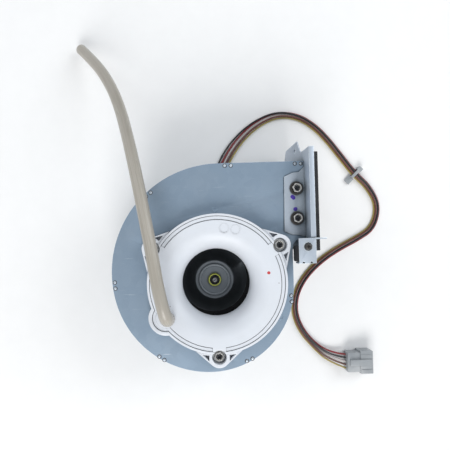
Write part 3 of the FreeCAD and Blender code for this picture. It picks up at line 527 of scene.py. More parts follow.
def dotEffect():
    # A round ink dot of one radius at one place, seen from above.
    group, taken, given = newEffect("inkDot", {"Place": (0.0, 0.0, 0.0), "Radius": 0.001}, ["Mask"])
    place = addNode(group, "ShaderNodeTexCoord")["Object"]
    away = addNode(
        group, "ShaderNodeVectorMath", {0: place, 1: taken["Place"]}, operation="DISTANCE"
    )["Value"]
    wobble = addNode(group, "ShaderNodeTexNoise", {"Vector": place, "Scale": 900.0})[0]
    ragged = addNode(group, "ShaderNodeMath", {0: wobble, 1: 0.0006, 2: away}, operation="MULTIPLY_ADD")[0]
    mask = addNode(group, "ShaderNodeMath", {0: ragged, 1: taken["Radius"]}, operation="LESS_THAN")[0]
    group.links.new(mask, given["Mask"])
    return group


effects = {
    "grain": grainEffect(), "spangle": spangleEffect(), "scratches": scratchEffect(), "wear": wearEffect(),
    "dust": dustEffect(), "occlusionShade": occlusionShadeEffect(), "specks": speckEffect(), "dot": dotEffect(),
}


def effect(tree, name, **values):
    node = tree.nodes.new("ShaderNodeGroup")
    node.node_tree = effects[name]
    count = len(tree.nodes)
    node.location = (240 * (count % 7) - 1200, -280 * (count // 7))
    for label, value in values.items():
        node.inputs[label].default_value = value
    return node.outputs["Mask"]


def tint(tree, mask, low, high):
    # Colours are given as three numbers or as an earlier result.
    colours = [value if isinstance(value, bpy.types.NodeSocket) else (*value, 1) for value in (low, high)]
    wires = {0: mask, 6: colours[0], 7: colours[1]}
    return addNode(tree, "ShaderNodeMix", wires, data_type="RGBA")[2]


def spread(tree, mask, low, high):
    return addNode(tree, "ShaderNodeMapRange", {0: mask, 1: 0.0, 2: 1.0, 3: low, 4: high})[0]


def bumped(tree, height, strength, distance):
    return addNode(
        tree, "ShaderNodeBump", {"Height": height, "Strength": strength, "Distance": distance}
    )[0]


def newFinish(name, **settings):
    material = bpy.data.materials.new(name)
    material.use_nodes = True
    tree = material.node_tree
    shader = tree.nodes["Principled BSDF"]
    for label, value in settings.items():
        shader.inputs[label.replace("_", " ")].default_value = value
    return material, tree, shader.inputs


def wire(tree, socket, value):
    tree.links.new(value, socket)


# Finishes.


def zincSheet(name, low, high, shine, dust=0.08, scratches=0.5, dots=(), shade=0.2, metal=0.6):
    material, tree, shader = newFinish(name, Metallic=metal)
    spangle = effect(tree, "spangle", Scale=170.0, Amount=0.5)
    cloud = effect(tree, "grain", Scale=38.0, Contrast=1.0)
    fine = effect(tree, "grain", Scale=900.0, Contrast=2.0)
    lines = effect(tree, "scratches", Scale=46.0, Turn=(0.0, 0.0, 0.7), Amount=scratches)
    edges = effect(tree, "wear", Radius=0.0007, Amount=0.9)
    film = effect(tree, "dust", Scale=38.0, Amount=dust)
    middle = [(a + b) / 2 for a, b in zip(low, high)]
    colour = tint(tree, cloud, low, middle)
    crystals = tint(tree, spangle, low, high)
    colour = addNode(tree, "ShaderNodeMix", {0: 0.5, 6: colour, 7: crystals}, data_type="RGBA")[2]
    colour = tint(tree, film, colour, (0.36, 0.37, 0.38))
    colour = tint(tree, lines, colour, (0.72, 0.76, 0.80))
    colour = tint(tree, edges, colour, [min(1.0, value * 1.7) for value in high])
    for place, radius, ink in dots:
        colour = tint(tree, effect(tree, "dot", Place=place, Radius=radius), colour, ink)
    # Painted shade: the colour darkens between tall walls, by the shade amount.
    wallShade = effect(tree, "occlusionShade", Reach=0.016, Amount=shade)  # less light between tall walls
    colour = tint(tree, wallShade, colour, (0.020, 0.040, 0.050))
    # Painted shade: the colour darkens in narrow gaps and inner corners.
    gapShade = effect(tree, "occlusionShade", Reach=0.0014, Amount=0.85)
    wire(tree, shader["Base Color"], tint(tree, gapShade, colour, (0.020, 0.024, 0.030)))
    rough = addNode(tree, "ShaderNodeMath", {0: fine, 1: spangle}, operation="MULTIPLY")[0]
    wire(tree, shader["Roughness"], spread(tree, rough, shine + 0.10, shine - 0.06))
    height = addNode(tree, "ShaderNodeMath", {0: fine, 1: lines}, operation="SUBTRACT")[0]
    wire(tree, shader["Normal"], bumped(tree, height, 0.10, 0.00008))
    return material


def whiteMoulding(name, dots=()):
    material, tree, shader = newFinish(name, Metallic=0.0)
    cloud = effect(tree, "grain", Scale=26.0, Contrast=1.4)
    fine = effect(tree, "grain", Scale=1500.0, Contrast=2.0)
    specks = effect(tree, "specks", Scale=120.0, Size=0.05)
    film = effect(tree, "dust", Scale=50.0, Amount=0.22)
    edges = effect(tree, "wear", Radius=0.0006, Amount=0.5)
    colour = tint(tree, cloud, (0.60, 0.63, 0.68), (0.65, 0.68, 0.73))
    colour = tint(tree, film, colour, (0.50, 0.51, 0.52))
    colour = tint(tree, edges, colour, (0.74, 0.77, 0.80))
    colour = tint(tree, specks, colour, (0.22, 0.20, 0.19))
    for place, radius, ink in dots:
        colour = tint(tree, effect(tree, "dot", Place=place, Radius=radius), colour, ink)
    # Painted shade: the white darkens in the parting gaps and inner corners.
    gapShade = effect(tree, "occlusionShade", Reach=0.0009, Amount=1.0)
    wire(tree, shader["Base Color"], tint(tree, gapShade, colour, (0.030, 0.032, 0.036)))
    wire(tree, shader["Roughness"], spread(tree, fine, 0.36, 0.50))
    wire(tree, shader["Normal"], bumped(tree, fine, 0.10, 0.00006))
    return material


def foam(name):
    material, tree, shader = newFinish(name)
    place = addNode(tree, "ShaderNodeTexCoord")["Object"]
    cells = addNode(tree, "ShaderNodeTexVoronoi", {"Vector": place, "Scale": 1900.0})["Distance"]
    cloud = effect(tree, "grain", Scale=120.0, Contrast=1.5)
    film = effect(tree, "dust", Scale=90.0, Amount=0.10)
    colour = tint(tree, cloud, (0.010, 0.011, 0.013), (0.022, 0.022, 0.025))
    wire(tree, shader["Base Color"], tint(tree, film, colour, (0.09, 0.09, 0.09)))
    wire(tree, shader["Roughness"], spread(tree, cells, 0.98, 0.80))
    wire(tree, shader["Normal"], bumped(tree, cells, 0.6, 0.0003))
    return material


def wornMetal(name, low, high, rough, metal=1.0, grain=500.0, dust=0.2, wearAndHighlight=0.0004, gap=0.0010):
    material, tree, shader = newFinish(name, Metallic=metal)
    cloud = effect(tree, "grain", Scale=grain / 6, Contrast=1.6)
    fine = effect(tree, "grain", Scale=grain * 3, Contrast=2.0)
    lines = effect(tree, "scratches", Scale=grain / 5, Turn=(0.3, 0.2, 0.9), Amount=0.5)
    edges = effect(tree, "wear", Radius=wearAndHighlight, Amount=0.9)
    film = effect(tree, "dust", Scale=grain / 4, Amount=dust)
    colour = tint(tree, cloud, low, high)
    colour = tint(tree, film, colour, [value * 0.45 + 0.06 for value in high])
    colour = tint(tree, edges, colour, [min(1.0, value * 1.5 + 0.04) for value in high])
    # Painted shade: the colour darkens in gaps and inner corners, within the gap reach.
    gapShade = effect(tree, "occlusionShade", Reach=gap, Amount=0.9)
    wire(tree, shader["Base Color"], tint(tree, gapShade, colour, (0.010, 0.010, 0.011)))
    wire(tree, shader["Roughness"], spread(tree, fine, rough[0], rough[1]))
    height = addNode(tree, "ShaderNodeMath", {0: fine, 1: lines}, operation="SUBTRACT")[0]
    wire(tree, shader["Normal"], bumped(tree, height, 0.12, 0.00006))
    return material


def softMoulding(name, low, high, rough, grain=900.0, dust=0.25):
    material, tree, shader = newFinish(name)
    cloud = effect(tree, "grain", Scale=grain / 9, Contrast=1.5)
    fine = effect(tree, "grain", Scale=grain, Contrast=2.0)
    film = effect(tree, "dust", Scale=grain / 10, Amount=dust)
    edges = effect(tree, "wear", Radius=0.0004, Amount=0.5)
    colour = tint(tree, cloud, low, high)
    colour = tint(tree, film, colour, [value * 0.6 + 0.08 for value in high])
    colour = tint(tree, edges, colour, [min(1.0, value * 1.25 + 0.02) for value in high])
    # Painted shade: the colour darkens in gaps and inner corners.
    gapShade = effect(tree, "occlusionShade", Reach=0.0010, Amount=0.6)
    wire(tree, shader["Base Color"], tint(tree, gapShade, colour, [value * 0.2 for value in low]))
    wire(tree, shader["Roughness"], spread(tree, fine, rough[0], rough[1]))
    wire(tree, shader["Normal"], bumped(tree, fine, 0.14, 0.00006))
    return material


def siliconeHose():
    # Milky tube with drawing streaks along it; the lighter streaks also paint highlights along the tube.
    material, tree, shader = newFinish(
        "siliconeHose", Transmission_Weight=0.12, IOR=1.41, Specular_IOR_Level=0.5,
    )
    around = addNode(tree, "ShaderNodeUVMap", uv_map="UVMap")[0]
    mapped = addNode(tree, "ShaderNodeMapping", {"Vector": around, "Scale": (1.6, 6.0, 1.0)})[0]
    noise = addNode(tree, "ShaderNodeTexNoise", {"Vector": mapped, "Scale": 2.0, "Detail": 2.0})[0]
    streaksAndSheen = addNode(tree, "ShaderNodeMapRange", {0: noise, 1: 0.28, 2: 0.72, 3: 0.0, 4: 1.0})[0]
    cloud = effect(tree, "grain", Scale=30.0, Contrast=1.2)
    colour = tint(tree, streaksAndSheen, (0.30, 0.275, 0.235), (0.48, 0.45, 0.40))
    aged = tint(tree, cloud, (0.33, 0.30, 0.245), (0.43, 0.41, 0.37))
    colour = addNode(tree, "ShaderNodeMix", {0: 0.4, 6: colour, 7: aged}, data_type="RGBA")[2]
    wire(tree, shader["Base Color"], colour)
    wire(tree, shader["Roughness"], spread(tree, streaksAndSheen, 0.34, 0.24))
    wire(tree, shader["Normal"], bumped(tree, streaksAndSheen, 0.08, 0.0004))
    return material


def wireSkin(name, low, high):
    material, tree, shader = newFinish(name, Coat_Roughness=0.25)
    cloud = effect(tree, "grain", Scale=70.0, Contrast=1.6)
    fine = effect(tree, "grain", Scale=1300.0, Contrast=1.8)
    film = effect(tree, "dust", Scale=120.0, Amount=0.1)
    colour = tint(tree, cloud, low, high)
    wire(tree, shader["Base Color"], tint(tree, film, colour, [value * 0.7 + 0.07 for value in high]))
    wire(tree, shader["Roughness"], spread(tree, fine, 0.30, 0.45))
    wire(tree, shader["Normal"], bumped(tree, fine, 0.08, 0.00005))
    return material


def laminated(name):
    # A stack of thin punched sheets: fine lines across the height.
    material, tree, shader = newFinish(name, Metallic=0.8)
    place = addNode(tree, "ShaderNodeTexCoord")["Object"]
    mapped = addNode(tree, "ShaderNodeMapping", {"Vector": place, "Scale": (0.0, 0.0, 1.0)})[0]
    waves = {"Vector": mapped, "Scale": 640.0, "Distortion": 0.0}
    sheets = addNode(tree, "ShaderNodeTexWave", waves, bands_direction="Z")["Fac"]
    cloud = effect(tree, "grain", Scale=150.0, Contrast=1.5)
    colour = tint(tree, cloud, (0.16, 0.18, 0.22), (0.26, 0.27, 0.30))
    wire(tree, shader["Base Color"], tint(tree, sheets, (0.07, 0.07, 0.08), colour))
    wire(tree, shader["Roughness"], spread(tree, sheets, 0.55, 0.35))
    wire(tree, shader["Normal"], bumped(tree, sheets, 0.4, 0.0002))
    return material


def woundCopper(name):
    # Enamelled turns, side by side.
    material, tree, shader = newFinish(name, Metallic=0.9)
    place = addNode(tree, "ShaderNodeTexCoord")["Object"]
    waves = {"Vector": place, "Scale": 520.0, "Distortion": 0.6}
    turns = addNode(tree, "ShaderNodeTexWave", waves, bands_direction="Z")["Fac"]
    cloud = effect(tree, "grain", Scale=200.0, Contrast=1.5)
    colour = tint(tree, cloud, (0.42, 0.14, 0.06), (0.62, 0.24, 0.11))
    wire(tree, shader["Base Color"], tint(tree, turns, (0.20, 0.06, 0.03), colour))
    wire(tree, shader["Roughness"], spread(tree, turns, 0.5, 0.22))
    wire(tree, shader["Normal"], bumped(tree, turns, 0.5, 0.0002))
    return material


inkRed = (0.50, 0.040, 0.040)
inkPurple = (0.105, 0.055, 0.44)
tabDots = [
    ((0.0642, 0.0689, 0.0800), 0.0019, inkPurple), ((0.0652, 0.0680, 0.0800), 0.0019, inkPurple),
    ((0.0665, 0.0587, 0.0800), 0.0020, inkPurple),
]
finishes = {
    "plateSheet": zincSheet("plateSheet", (0.205, 0.275, 0.355), (0.245, 0.318, 0.400), 0.60, metal=0.35),
    "brightSheet": zincSheet(
        "brightSheet", (0.44, 0.50, 0.58), (0.55, 0.61, 0.68), 0.40, 0.05, 0.3, tabDots, 0.95
    ),
    "whiteRing": whiteMoulding("whiteRing"),
    "whiteCover": whiteMoulding("whiteCover", [((0.0413, 0.0077, 0.0900), 0.0016, inkRed)]),
    "blackFoam": foam("blackFoam"),
    "sealRubber": softMoulding("sealRubber", (0.018, 0.018, 0.02), (0.035, 0.034, 0.035), (0.5, 0.7)),
    "zincScrew": wornMetal("zincScrew", (0.52, 0.50, 0.47), (0.82, 0.80, 0.76), (0.18, 0.30)),
    "darkWasher": wornMetal("darkWasher", (0.040, 0.038, 0.036), (0.095, 0.090, 0.085), (0.30, 0.45), 0.7),
    "brightWasher": wornMetal("brightWasher", (0.52, 0.52, 0.50), (0.72, 0.71, 0.68), (0.18, 0.30)),
    # Near-black finish laid on recess faces as painted shade.
    "recessShade": wornMetal("paintedRecessShade", (0.016, 0.018, 0.022), (0.035, 0.040, 0.048), (0.45, 0.60), 0.4),
    "hose": siliconeHose(),
    "nylon": softMoulding("naturalNylon", (0.24, 0.26, 0.28), (0.35, 0.37, 0.385), (0.32, 0.44), dust=0.12),
    # Dark metal, darkened to near black to paint the shade deep inside the inlet eye.
    "shadedWheelMetal": wornMetal("shadedWheelMetal", (0.012, 0.014, 0.016), (0.022, 0.024, 0.027), (0.45, 0.60), 0.3),
    # On the cone the wide edge wear paints a highlight on the rim, and the long gap reach paints shade round
    # the nut and clamp disc.
    "coneMetal": wornMetal("coneMetal", (0.19, 0.215, 0.24), (0.24, 0.27, 0.30), (0.36, 0.48), 0.2,
                           dust=0.1, wearAndHighlight=0.0016, gap=0.0022),
    "yellowNut": wornMetal("yellowNut", (0.50, 0.55, 0.07), (0.80, 0.86, 0.20), (0.28, 0.40), 0.5),
    "hubBrass": wornMetal("hubBrass", (0.48, 0.33, 0.11), (0.68, 0.50, 0.20), (0.25, 0.40)),
    "brightSteel": wornMetal(
        "brightSteel", (0.24, 0.24, 0.245), (0.38, 0.38, 0.38), (0.30, 0.42), grain=700.0
    ),
    "motorCasing": zincSheet("motorCasing", (0.19, 0.21, 0.24), (0.28, 0.30, 0.33), 0.42, 0.2, 0.4),
    "lamination": laminated("lamination"),
    "copper": woundCopper("woundCopper"),
    "magnet": softMoulding("magnetFerrite", (0.030, 0.030, 0.034), (0.060, 0.060, 0.064), (0.45, 0.65)),
    "board": softMoulding("boardGreen", (0.010, 0.11, 0.045), (0.020, 0.17, 0.07), (0.25, 0.40)),
    "spring": wornMetal("springSteel", (0.30, 0.32, 0.36), (0.44, 0.46, 0.50), (0.20, 0.34)),
}
wireColours = {
    "black": ((0.006, 0.007, 0.009), (0.014, 0.015, 0.018)),
    "red": ((0.17, 0.007, 0.011), (0.26, 0.014, 0.020)),
    "white": ((0.42, 0.38, 0.38), (0.56, 0.52, 0.51)),
    "brown": ((0.085, 0.024, 0.018), (0.14, 0.045, 0.032)),
    "yellow": ((0.27, 0.21, 0.055), (0.38, 0.29, 0.085)),
}
# The finish of each piece of the design that stays as it is.
designFinishes = {
    "galvanised_sheet": "plateSheet", "white_plastic": "whiteRing", "gasket_foam": "blackFoam",
    "seal_rubber": "sealRubber", "screw_zinc": "zincScrew", "washer_dark": "darkWasher",
    "washer_bright": "brightWasher", "natural_nylon": "nylon", "wheel_metal": "shadedWheelMetal",
    "nut_yellow": "yellowNut", "hub_brass": "hubBrass", "bright_steel": "brightSteel",
    "motor_casing": "motorCasing", "lamination": "lamination", "copper_wire": "copper",
    "magnet_black": "magnet", "board_green": "board", "spring_steel": "spring", "hose_silicone": "hose",
}


def paintDesign():
    for piece in nodes.values():
        for holder in piece.material_slots:
            chosen = designFinishes.get(holder.material.name)
            if chosen:
                holder.material = finishes[chosen]


paintDesign()
print("finishes made:", len(finishes))


# Floor.


def makeFloor():
    clearPick()
    bpy.ops.mesh.primitive_plane_add(size=floorLook["side"])
    floor = bpy.context.object
    floor.name = "studioFloor"
    floor.location.z = -0.0002
    placed(floor)
    material, tree, shader = newFinish("floorPaper", Roughness=0.9)
    paper = effect(tree, "grain", Scale=60.0, Contrast=1.0)
    wire(tree, shader["Base Color"], tint(tree, paper, floorLook["low"], floorLook["high"]))
    floor.data.materials.append(material)


makeFloor()
makeLamps()
print("floor and lamps placed")


# Scroll housing.

plateLook = {
    "edge": 0.22 * mm,
    "dimplePitch": 60.3 * mm,
    "dimpleAngles": (90, 210, 330),
    "dimpleRadius": 1.75 * mm,
    "dimpleBead": 0.36 * mm,
}
stakeLook = {
    "radius": 1.15 * mm,
    "lip": 1.75 * mm,
    "high": 0.42 * mm,
    "gap": 5.0 * mm,
    # first head of each pair, and the direction to the second
    "pairs": [
        ((0.0094, 0.0962), 0), ((0.0673, 0.0962), 0), ((-0.0561, 0.0726), 40),
        ((-0.0490, -0.0595), -36), ((0.0231, -0.0653), 22), ((0.0614, -0.0174), 93),
        ((-0.0836, -0.0024), 94),
    ],
}


def makeFrontPlate():
    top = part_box("front_plate")[1].z
    plate = softened("front_plate", "frontPlate", plateLook["edge"])
    radius = plateLook["dimpleRadius"]
    bead = plateLook["dimpleBead"]
    beads = []
    for angle in plateLook["dimpleAngles"]:
        section = [round2d(bead, turn) for turn in range(0, 181, 30)]
        ring = [(radius + x, top + z - 0.04 * mm) for x, z in section] + [(radius, top - 0.2 * mm)]
        beads.append(spun("dimple", ring, round2d(plateLook["dimplePitch"], angle), 32))
    plate = joined([plate] + beads)
    return fit(plate, finishes["plateSheet"], "galvanised_sheet", "housing", "front_plate")


def makeStakes():
    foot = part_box("stake_heads")[0].z
    radius = stakeLook["radius"]
    lip = stakeLook["lip"]
    high = stakeLook["high"]
    dome = [(0, high), (radius * 0.6, high * 0.92), (radius * 0.9, high * 0.55), (radius, 0.04 * mm)]
    collar = [(lip * 0.84, 0.04 * mm), (lip * 0.92, high * 0.25), (lip, 0)]
    section = [(r, foot + z) for r, z in dome + collar] + [(0, foot)]
    stake = spun("stake", section, steps=28)
    for pair, (place, turn) in enumerate(stakeLook["pairs"]):
        stepX, stepY = round2d(stakeLook["gap"], turn)
        for side, move in (("A", (*place, 0)), ("B", (place[0] + stepX, place[1] + stepY, 0))):
            head = copied(stake, f"stakeHead{pair + 1}{side}", move)
            fit(head, finishes["brightSheet"], "galvanised_sheet", "housing")
            middle = Vector((*move[:2], foot))
            # The collar round each head is painted dark as the shade in the groove round it.
            inlaid(head, finishes["recessShade"], lambda face: (face.center - middle).xy.length > radius * 0.98)
    bpy.data.objects.remove(stake)
    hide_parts("stake_heads")


def makeScroll():
    makeFrontPlate()
    makeStakes()
    back = softened("back_plate", "backPlate", plateLook["edge"])
    fit(back, finishes["plateSheet"], "galvanised_sheet", "housing", "back_plate")
    band = softened("scroll_band", "scrollBand", 0.15 * mm)
    fit(band, finishes["plateSheet"], "galvanised_sheet", "housing", "scroll_band")
    flange = softened("outlet_flange", "outletFlange", 0.28 * mm, 3)
    fit(flange, finishes["brightSheet"], "galvanised_sheet", "housing", "outlet_flange")
    gasket = softened("outlet_gasket", "outletGasket", 0.5 * mm, 3)
    fit(gasket, finishes["blackFoam"], "gasket_foam", "housing", "outlet_gasket")


bracketLook = {
    "edge": 0.3 * mm,
    "screw": (0.0716, 0.0279),
    "embossRadius": 3.4 * mm,
    "gussets": (0.0678, 0.0740),
    "gussetHalf": 1.1 * mm,
}


def makeBracket():
    low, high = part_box("corner_bracket")
    bracket = softened("corner_bracket", "cornerBracket", bracketLook["edge"])
    top = high.z
    radius = bracketLook["embossRadius"]
    ring = [
        (radius + x, top + z - 0.05 * mm)
        for x, z in (round2d(0.3 * mm, turn) for turn in range(0, 181, 30))
    ]
    emboss = spun("emboss", ring + [(radius, top - 0.2 * mm)], bracketLook["screw"], 40)
    gussets = []
    for x in bracketLook["gussets"]:
        # A pressed dart across the bend: a wedge that is cut back to a triangle.
        dart = block("dart", (x - bracketLook["gussetHalf"], low.y + 0.3 * mm, top - 0.6 * mm),
                     (x + bracketLook["gussetHalf"], low.y + 2.4 * mm, top + 0.25 * mm))
        edit(dart, "DESELECT")
        bpy.ops.mesh.select_mode(type="VERT")
        leaveEdit()
        for vertex in dart.data.vertices:
            vertex.select = vertex.co.y > low.y + 2 * mm
        bpy.ops.object.mode_set(mode="EDIT")
        bpy.ops.mesh.merge(type="CENTER")
        leaveEdit()
        finishMesh(dart)
        rounded(dart, 0.12 * mm)
        gussets.append(dart)
    bracket = joined([bracket, emboss] + gussets)
    fit(bracket, finishes["brightSheet"], "galvanised_sheet", "housing", "corner_bracket")
    # The tops of the pressed darts are painted dark as shade.
    inlaid(bracket, finishes["recessShade"], lambda face: (
        face.center.y < low.y + 3 * mm and face.center.z > top + 0.02 * mm
    ))
    padLow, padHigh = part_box("corner_pad")
    pad = block("cornerPad", padLow, padHigh)
    applied(pad, "BEVEL", width=1.3 * mm, segments=4, limit_method="NONE")
    smoothed(pad, 60)
    fit(pad, finishes["blackFoam"], "gasket_foam", "housing", "corner_pad")


# White inlet ring.

ringLook = {"edge": 0.45 * mm}
coverLook = {
    "throat": 28.2 * mm,
    "mouth": 16.0 * mm,
    "wall": 2.0 * mm,
    "throatLong": 2.5 * mm,
    "step": 51.2 * mm,
    "stepDeep": 0.7 * mm,
    "grooveDeep": 0.45 * mm,
    "rim": 54.4 * mm,
    "tongueHalf": 5.3 * mm,
    "lugPitch": 59.5 * mm,
    "notch": 6.2 * mm,
    "lugAngles": (30, 150, 270),
    "bump": (-0.0420, -0.0262),
    "bumpRadius": 10.8 * mm,
    "plateau": 8.0 * mm,
    "nipple": (-0.0404, -0.0268),
    "nippleRadius": 3.2 * mm,
    "nippleBore": 1.8 * mm,
    "markRadius": 3.7 * mm,
    "markBead": 0.24 * mm,
    "marks": [(0.0066, 0.0445), (0.0157, 0.0433)],
    "edge": 0.32 * mm,
}


def coverSection(foot, top):
    look = coverLook
    centre = look["throat"] + look["mouth"]
    low = top - look["mouth"]
    section = []
    for turn in range(180, 89, -6):
        x, z = round2d(look["mouth"], turn)
        section.append((centre + x, low + z))
    step = look["step"]
    floor = top - look["stepDeep"]
    groove = look["grooveDeep"]
    section += [(step, top), (step + 0.1 * mm, floor - groove), (step + 0.6 * mm, floor - groove)]
    section.append((step + 0.7 * mm, floor))
    section += [(look["rim"], floor), (look["rim"], foot), (look["rim"] - look["wall"], foot)]
    section.append((look["rim"] - look["wall"], top - look["wall"]))
    for turn in range(90, 181, 6):
        x, z = round2d(look["mouth"] - look["wall"], turn)
        section.append((centre + x, low + z))
    end = low - look["throatLong"]
    return section + [(look["throat"] + look["wall"], end), (look["throat"], end)]


def makeCover():
    look = coverLook
    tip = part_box("inlet_cover")[1].z
    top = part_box("ring_frame")[1].z
    foot = top - 8.8 * mm
    cover = spun("inletCover", coverSection(foot, top), steps=144)
    for angle in look["lugAngles"]:
        # The step stops square on each side of a lug, where the face runs out to the rim.
        tongue = block("tongue", (look["step"] - 1 * mm, -look["tongueHalf"], top - look["wall"]),
                       (look["rim"] - 0.05 * mm, look["tongueHalf"], top))
        tongue = copied(tongue, "turnedTongue", turn=angle)
        bpy.data.objects.remove(bpy.data.objects["tongue"])
        cut(cover, tongue, "UNION")
    cut(cover, rod("bump", look["bump"], look["bumpRadius"], foot, top - 1 * mm), "UNION")
    cut(cover, rod("plateau", look["bump"], look["plateau"], top - 2 * mm, top), "UNION")
    for angle in look["lugAngles"]:
        place = round2d(look["lugPitch"], angle)
        cut(cover, rod("notch", place, look["notch"], foot - 1 * mm, top + 1 * mm))
    cut(cover, rod("portCut", look["nipple"], look["nippleBore"], foot - 1 * mm, top + 1 * mm, 32))
    finishMesh(cover, 1e-6, outward=False)
    rounded(cover, look["edge"], 3, 32)
    outer = look["nippleRadius"]
    bore = look["nippleBore"]
    section = [(bore, top - 3 * mm), (outer - 0.2 * mm, top - 3 * mm), (outer - 0.2 * mm, tip - 3 * mm)]
    section += [(outer, tip - 2.6 * mm), (outer - 0.5 * mm, tip), (bore, tip)]
    nipple = spun("nipple", section, look["nipple"], 48, 0.12 * mm)
    marks = []
    for place in look["marks"]:
        ring = [
            (look["markRadius"] + x, top + z)
            for x, z in (round2d(look["markBead"], turn) for turn in range(0, 181, 45))
        ]
        marks.append(spun("mark", ring + [(look["markRadius"], top - 0.2 * mm)], place, 64))
    cover = joined([cover, nipple] + marks)
    smoothed(cover)
    return fit(cover, finishes["whiteCover"], "white_plastic", "housing", "inlet_cover")


def makeRing():
    ring = softened("ring_frame", "ringFrame", ringLook["edge"], 3)
    fit(ring, finishes["whiteRing"], "white_plastic", "housing", "ring_frame")
    makeCover()


# Fasteners.

screwLook = {
    "across": 7.0 * mm,
    "head": 3.4 * mm,
    "dish": 2.8 * mm,
    "dishDeep": 1.1 * mm,
    "crossArm": 1.75 * mm,
    "crossHalf": 0.55 * mm,
    "crossDeep": 1.7 * mm,
    "shank": 1.95 * mm,
    "pitch": 0.7 * mm,
    "holeRadius": 2.2 * mm,  # of the washers under the heads
    "ringWasher": 5.0 * mm,
    "flangeWasher": 5.5 * mm,
    "flangeX": 0.0677,
    "flangeY": (0.0511, 0.0758),
    "turnStep": 17,  # degrees from one head to the next
}


def hexScrew(look, shankLong):
    # The head stands on Z = 0 with the shank below.
    high = look["head"]
    corner = look["across"] / 2 / math.cos(math.radians(30))
    head = rod("screw", (0, 0), corner, 0, high, 6)
    turned = [(0, 0), (corner * 0.94, 0), (corner * 1.01, 0.3 * mm), (corner * 1.01, high - 0.7 * mm)]
    cut(head, spun("turning", turned + [(corner * 0.84, high), (0, high)], steps=48), "INTERSECT")
    dish = [(0, high - look["dishDeep"]), (look["dish"] - 0.7 * mm, high - look["dishDeep"])]
    cut(head, spun("dish", dish + [(look["dish"], high + 0.1 * mm), (0, high + 0.1 * mm)], steps=40))
    arm = look["crossArm"]
    half = look["crossHalf"]
    floor = high - look["dishDeep"] - look["crossDeep"] + 0.2 * mm
    for reach, wide in ((arm, half), (half, arm)):
        cut(head, block("slot", (-reach, -wide, floor), (reach, wide, high)))
    shank = spun("shank", [(0, -shankLong), (look["shank"] - 0.5 * mm, -shankLong),
                           (look["shank"], 0.6 * mm - shankLong),
                           (look["shank"], 0.5 * mm), (0, 0.5 * mm)], steps=32)
    threads = []
    for turn in range(int(shankLong / look["pitch"]) - 1):
        z = -0.9 * mm - turn * look["pitch"]
        ring = [
            (look["shank"] - 0.2 * mm, z - 0.25 * mm), (look["shank"] + 0.06 * mm, z),
            (look["shank"] - 0.2 * mm, z + 0.25 * mm),
        ]
        threads.append(spun("thread", ring, steps=24))
    finishMesh(head, 1e-7, outward=False)
    rounded(head, 0.1 * mm, 2, 25)
    screw = joined([head, shank] + threads)
    smoothed(screw)
    return screw


def shadeInDish(screw, place, seat):
    # The dish in the head and the cross below it are painted dark as the shade in the recess.
    floor = Vector((*place, seat + screwLook["head"] - screwLook["dishDeep"]))
    reach = screwLook["dish"] - 0.5 * mm
    inlaid(screw, finishes["recessShade"], lambda face: (
        (face.center - floor).xy.length < reach and -2.5 * mm < face.center.z - floor.z < 0.3 * mm
    ))


def washerAt(name, place, inner, outer, foot, thick):
    section = [(inner, foot), (outer, foot), (outer, foot + thick), (inner, foot + thick)]
    return spun(name, section, place, 56, 0.16 * mm)


def makeFasteners():
    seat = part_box("ring_screws")[1].z - screwLook["head"]
    screw = hexScrew(screwLook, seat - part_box("ring_screws")[0].z)
    washerLow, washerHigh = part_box("ring_washers")
    thick = washerHigh.z - washerLow.z
    hole = screwLook["holeRadius"]
    for number, angle in enumerate(coverLook["lugAngles"]):
        place = round2d(coverLook["lugPitch"], angle)
        one = copied(screw, f"ringScrew{number + 1}", (*place, seat), screwLook["turnStep"] * number + 8)
        other = washerAt(f"ringWasher{number + 1}", place, hole, screwLook["ringWasher"], washerLow.z, thick)
        fit(one, finishes["zincScrew"], "screw_zinc", "housing", *(["ring_screws"] if number == 0 else []))
        shadeInDish(one, place, seat)
        fit(
            other, finishes["brightWasher"], "washer_bright", "housing",
            *(["ring_washers"] if number == 0 else [])
        )
    bpy.data.objects.remove(screw)
    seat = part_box("flange_screws")[1].z - screwLook["head"]
    screw = hexScrew(screwLook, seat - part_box("flange_screws")[0].z)
    low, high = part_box("flange_washers")
    for number, y in enumerate(screwLook["flangeY"]):
        place = (screwLook["flangeX"], y)
        one = copied(screw, f"flangeScrew{number + 1}", (*place, seat), screwLook["turnStep"] * number + 8)
        outer = screwLook["flangeWasher"]
        other = washerAt(f"flangeWasher{number + 1}", place, hole, outer, low.z, high.z - low.z)
        fit(
            one, finishes["zincScrew"], "screw_zinc", "housing",
            *(["flange_screws"] if number == 0 else [])
        )
        shadeInDish(one, place, seat)
        fit(
            other, finishes["darkWasher"], "washer_dark", "housing",
            *(["flange_washers"] if number == 0 else [])
        )
    bpy.data.objects.remove(screw)
    panScrew()


def panScrew():
    low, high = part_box("corner_screw")
    place = bracketLook["screw"]
    foot = high.z - 1.8 * mm
    section = [
        (0, low.z), (1.0 * mm, low.z), (1.45 * mm, low.z + 0.5 * mm), (1.45 * mm, foot),
        (2.7 * mm, foot),
    ]
    section += [
        (2.7 * mm, high.z - 0.9 * mm), (2.3 * mm, high.z - 0.3 * mm), (1.5 * mm, high.z), (0, high.z),
    ]
    screw = spun("cornerScrew", section, place, 48)
    for reach, wide in ((1.5 * mm, 0.35 * mm), (0.35 * mm, 1.5 * mm)):
        cut(screw, block("slot", (place[0] - reach, place[1] - wide, high.z - 1.0 * mm),
                         (place[0] + reach, place[1] + wide, high.z + 1 * mm)))
    finishMesh(screw, 1e-7, outward=False)
    rounded(screw, 0.1 * mm, 2, 28)
    smoothed(screw)
    fit(screw, finishes["darkWasher"], "screw_zinc", "housing", "corner_screw")
    nut = softened("corner_nut", "cornerNut", 0.2 * mm)
    fit(nut, finishes["zincScrew"], "screw_zinc", "housing", "corner_nut")


# Impeller, hub and shaft.

wheelLook = {"bladeEdge": 0.2 * mm, "hubHole": 2.6 * mm, "knurls": 12}


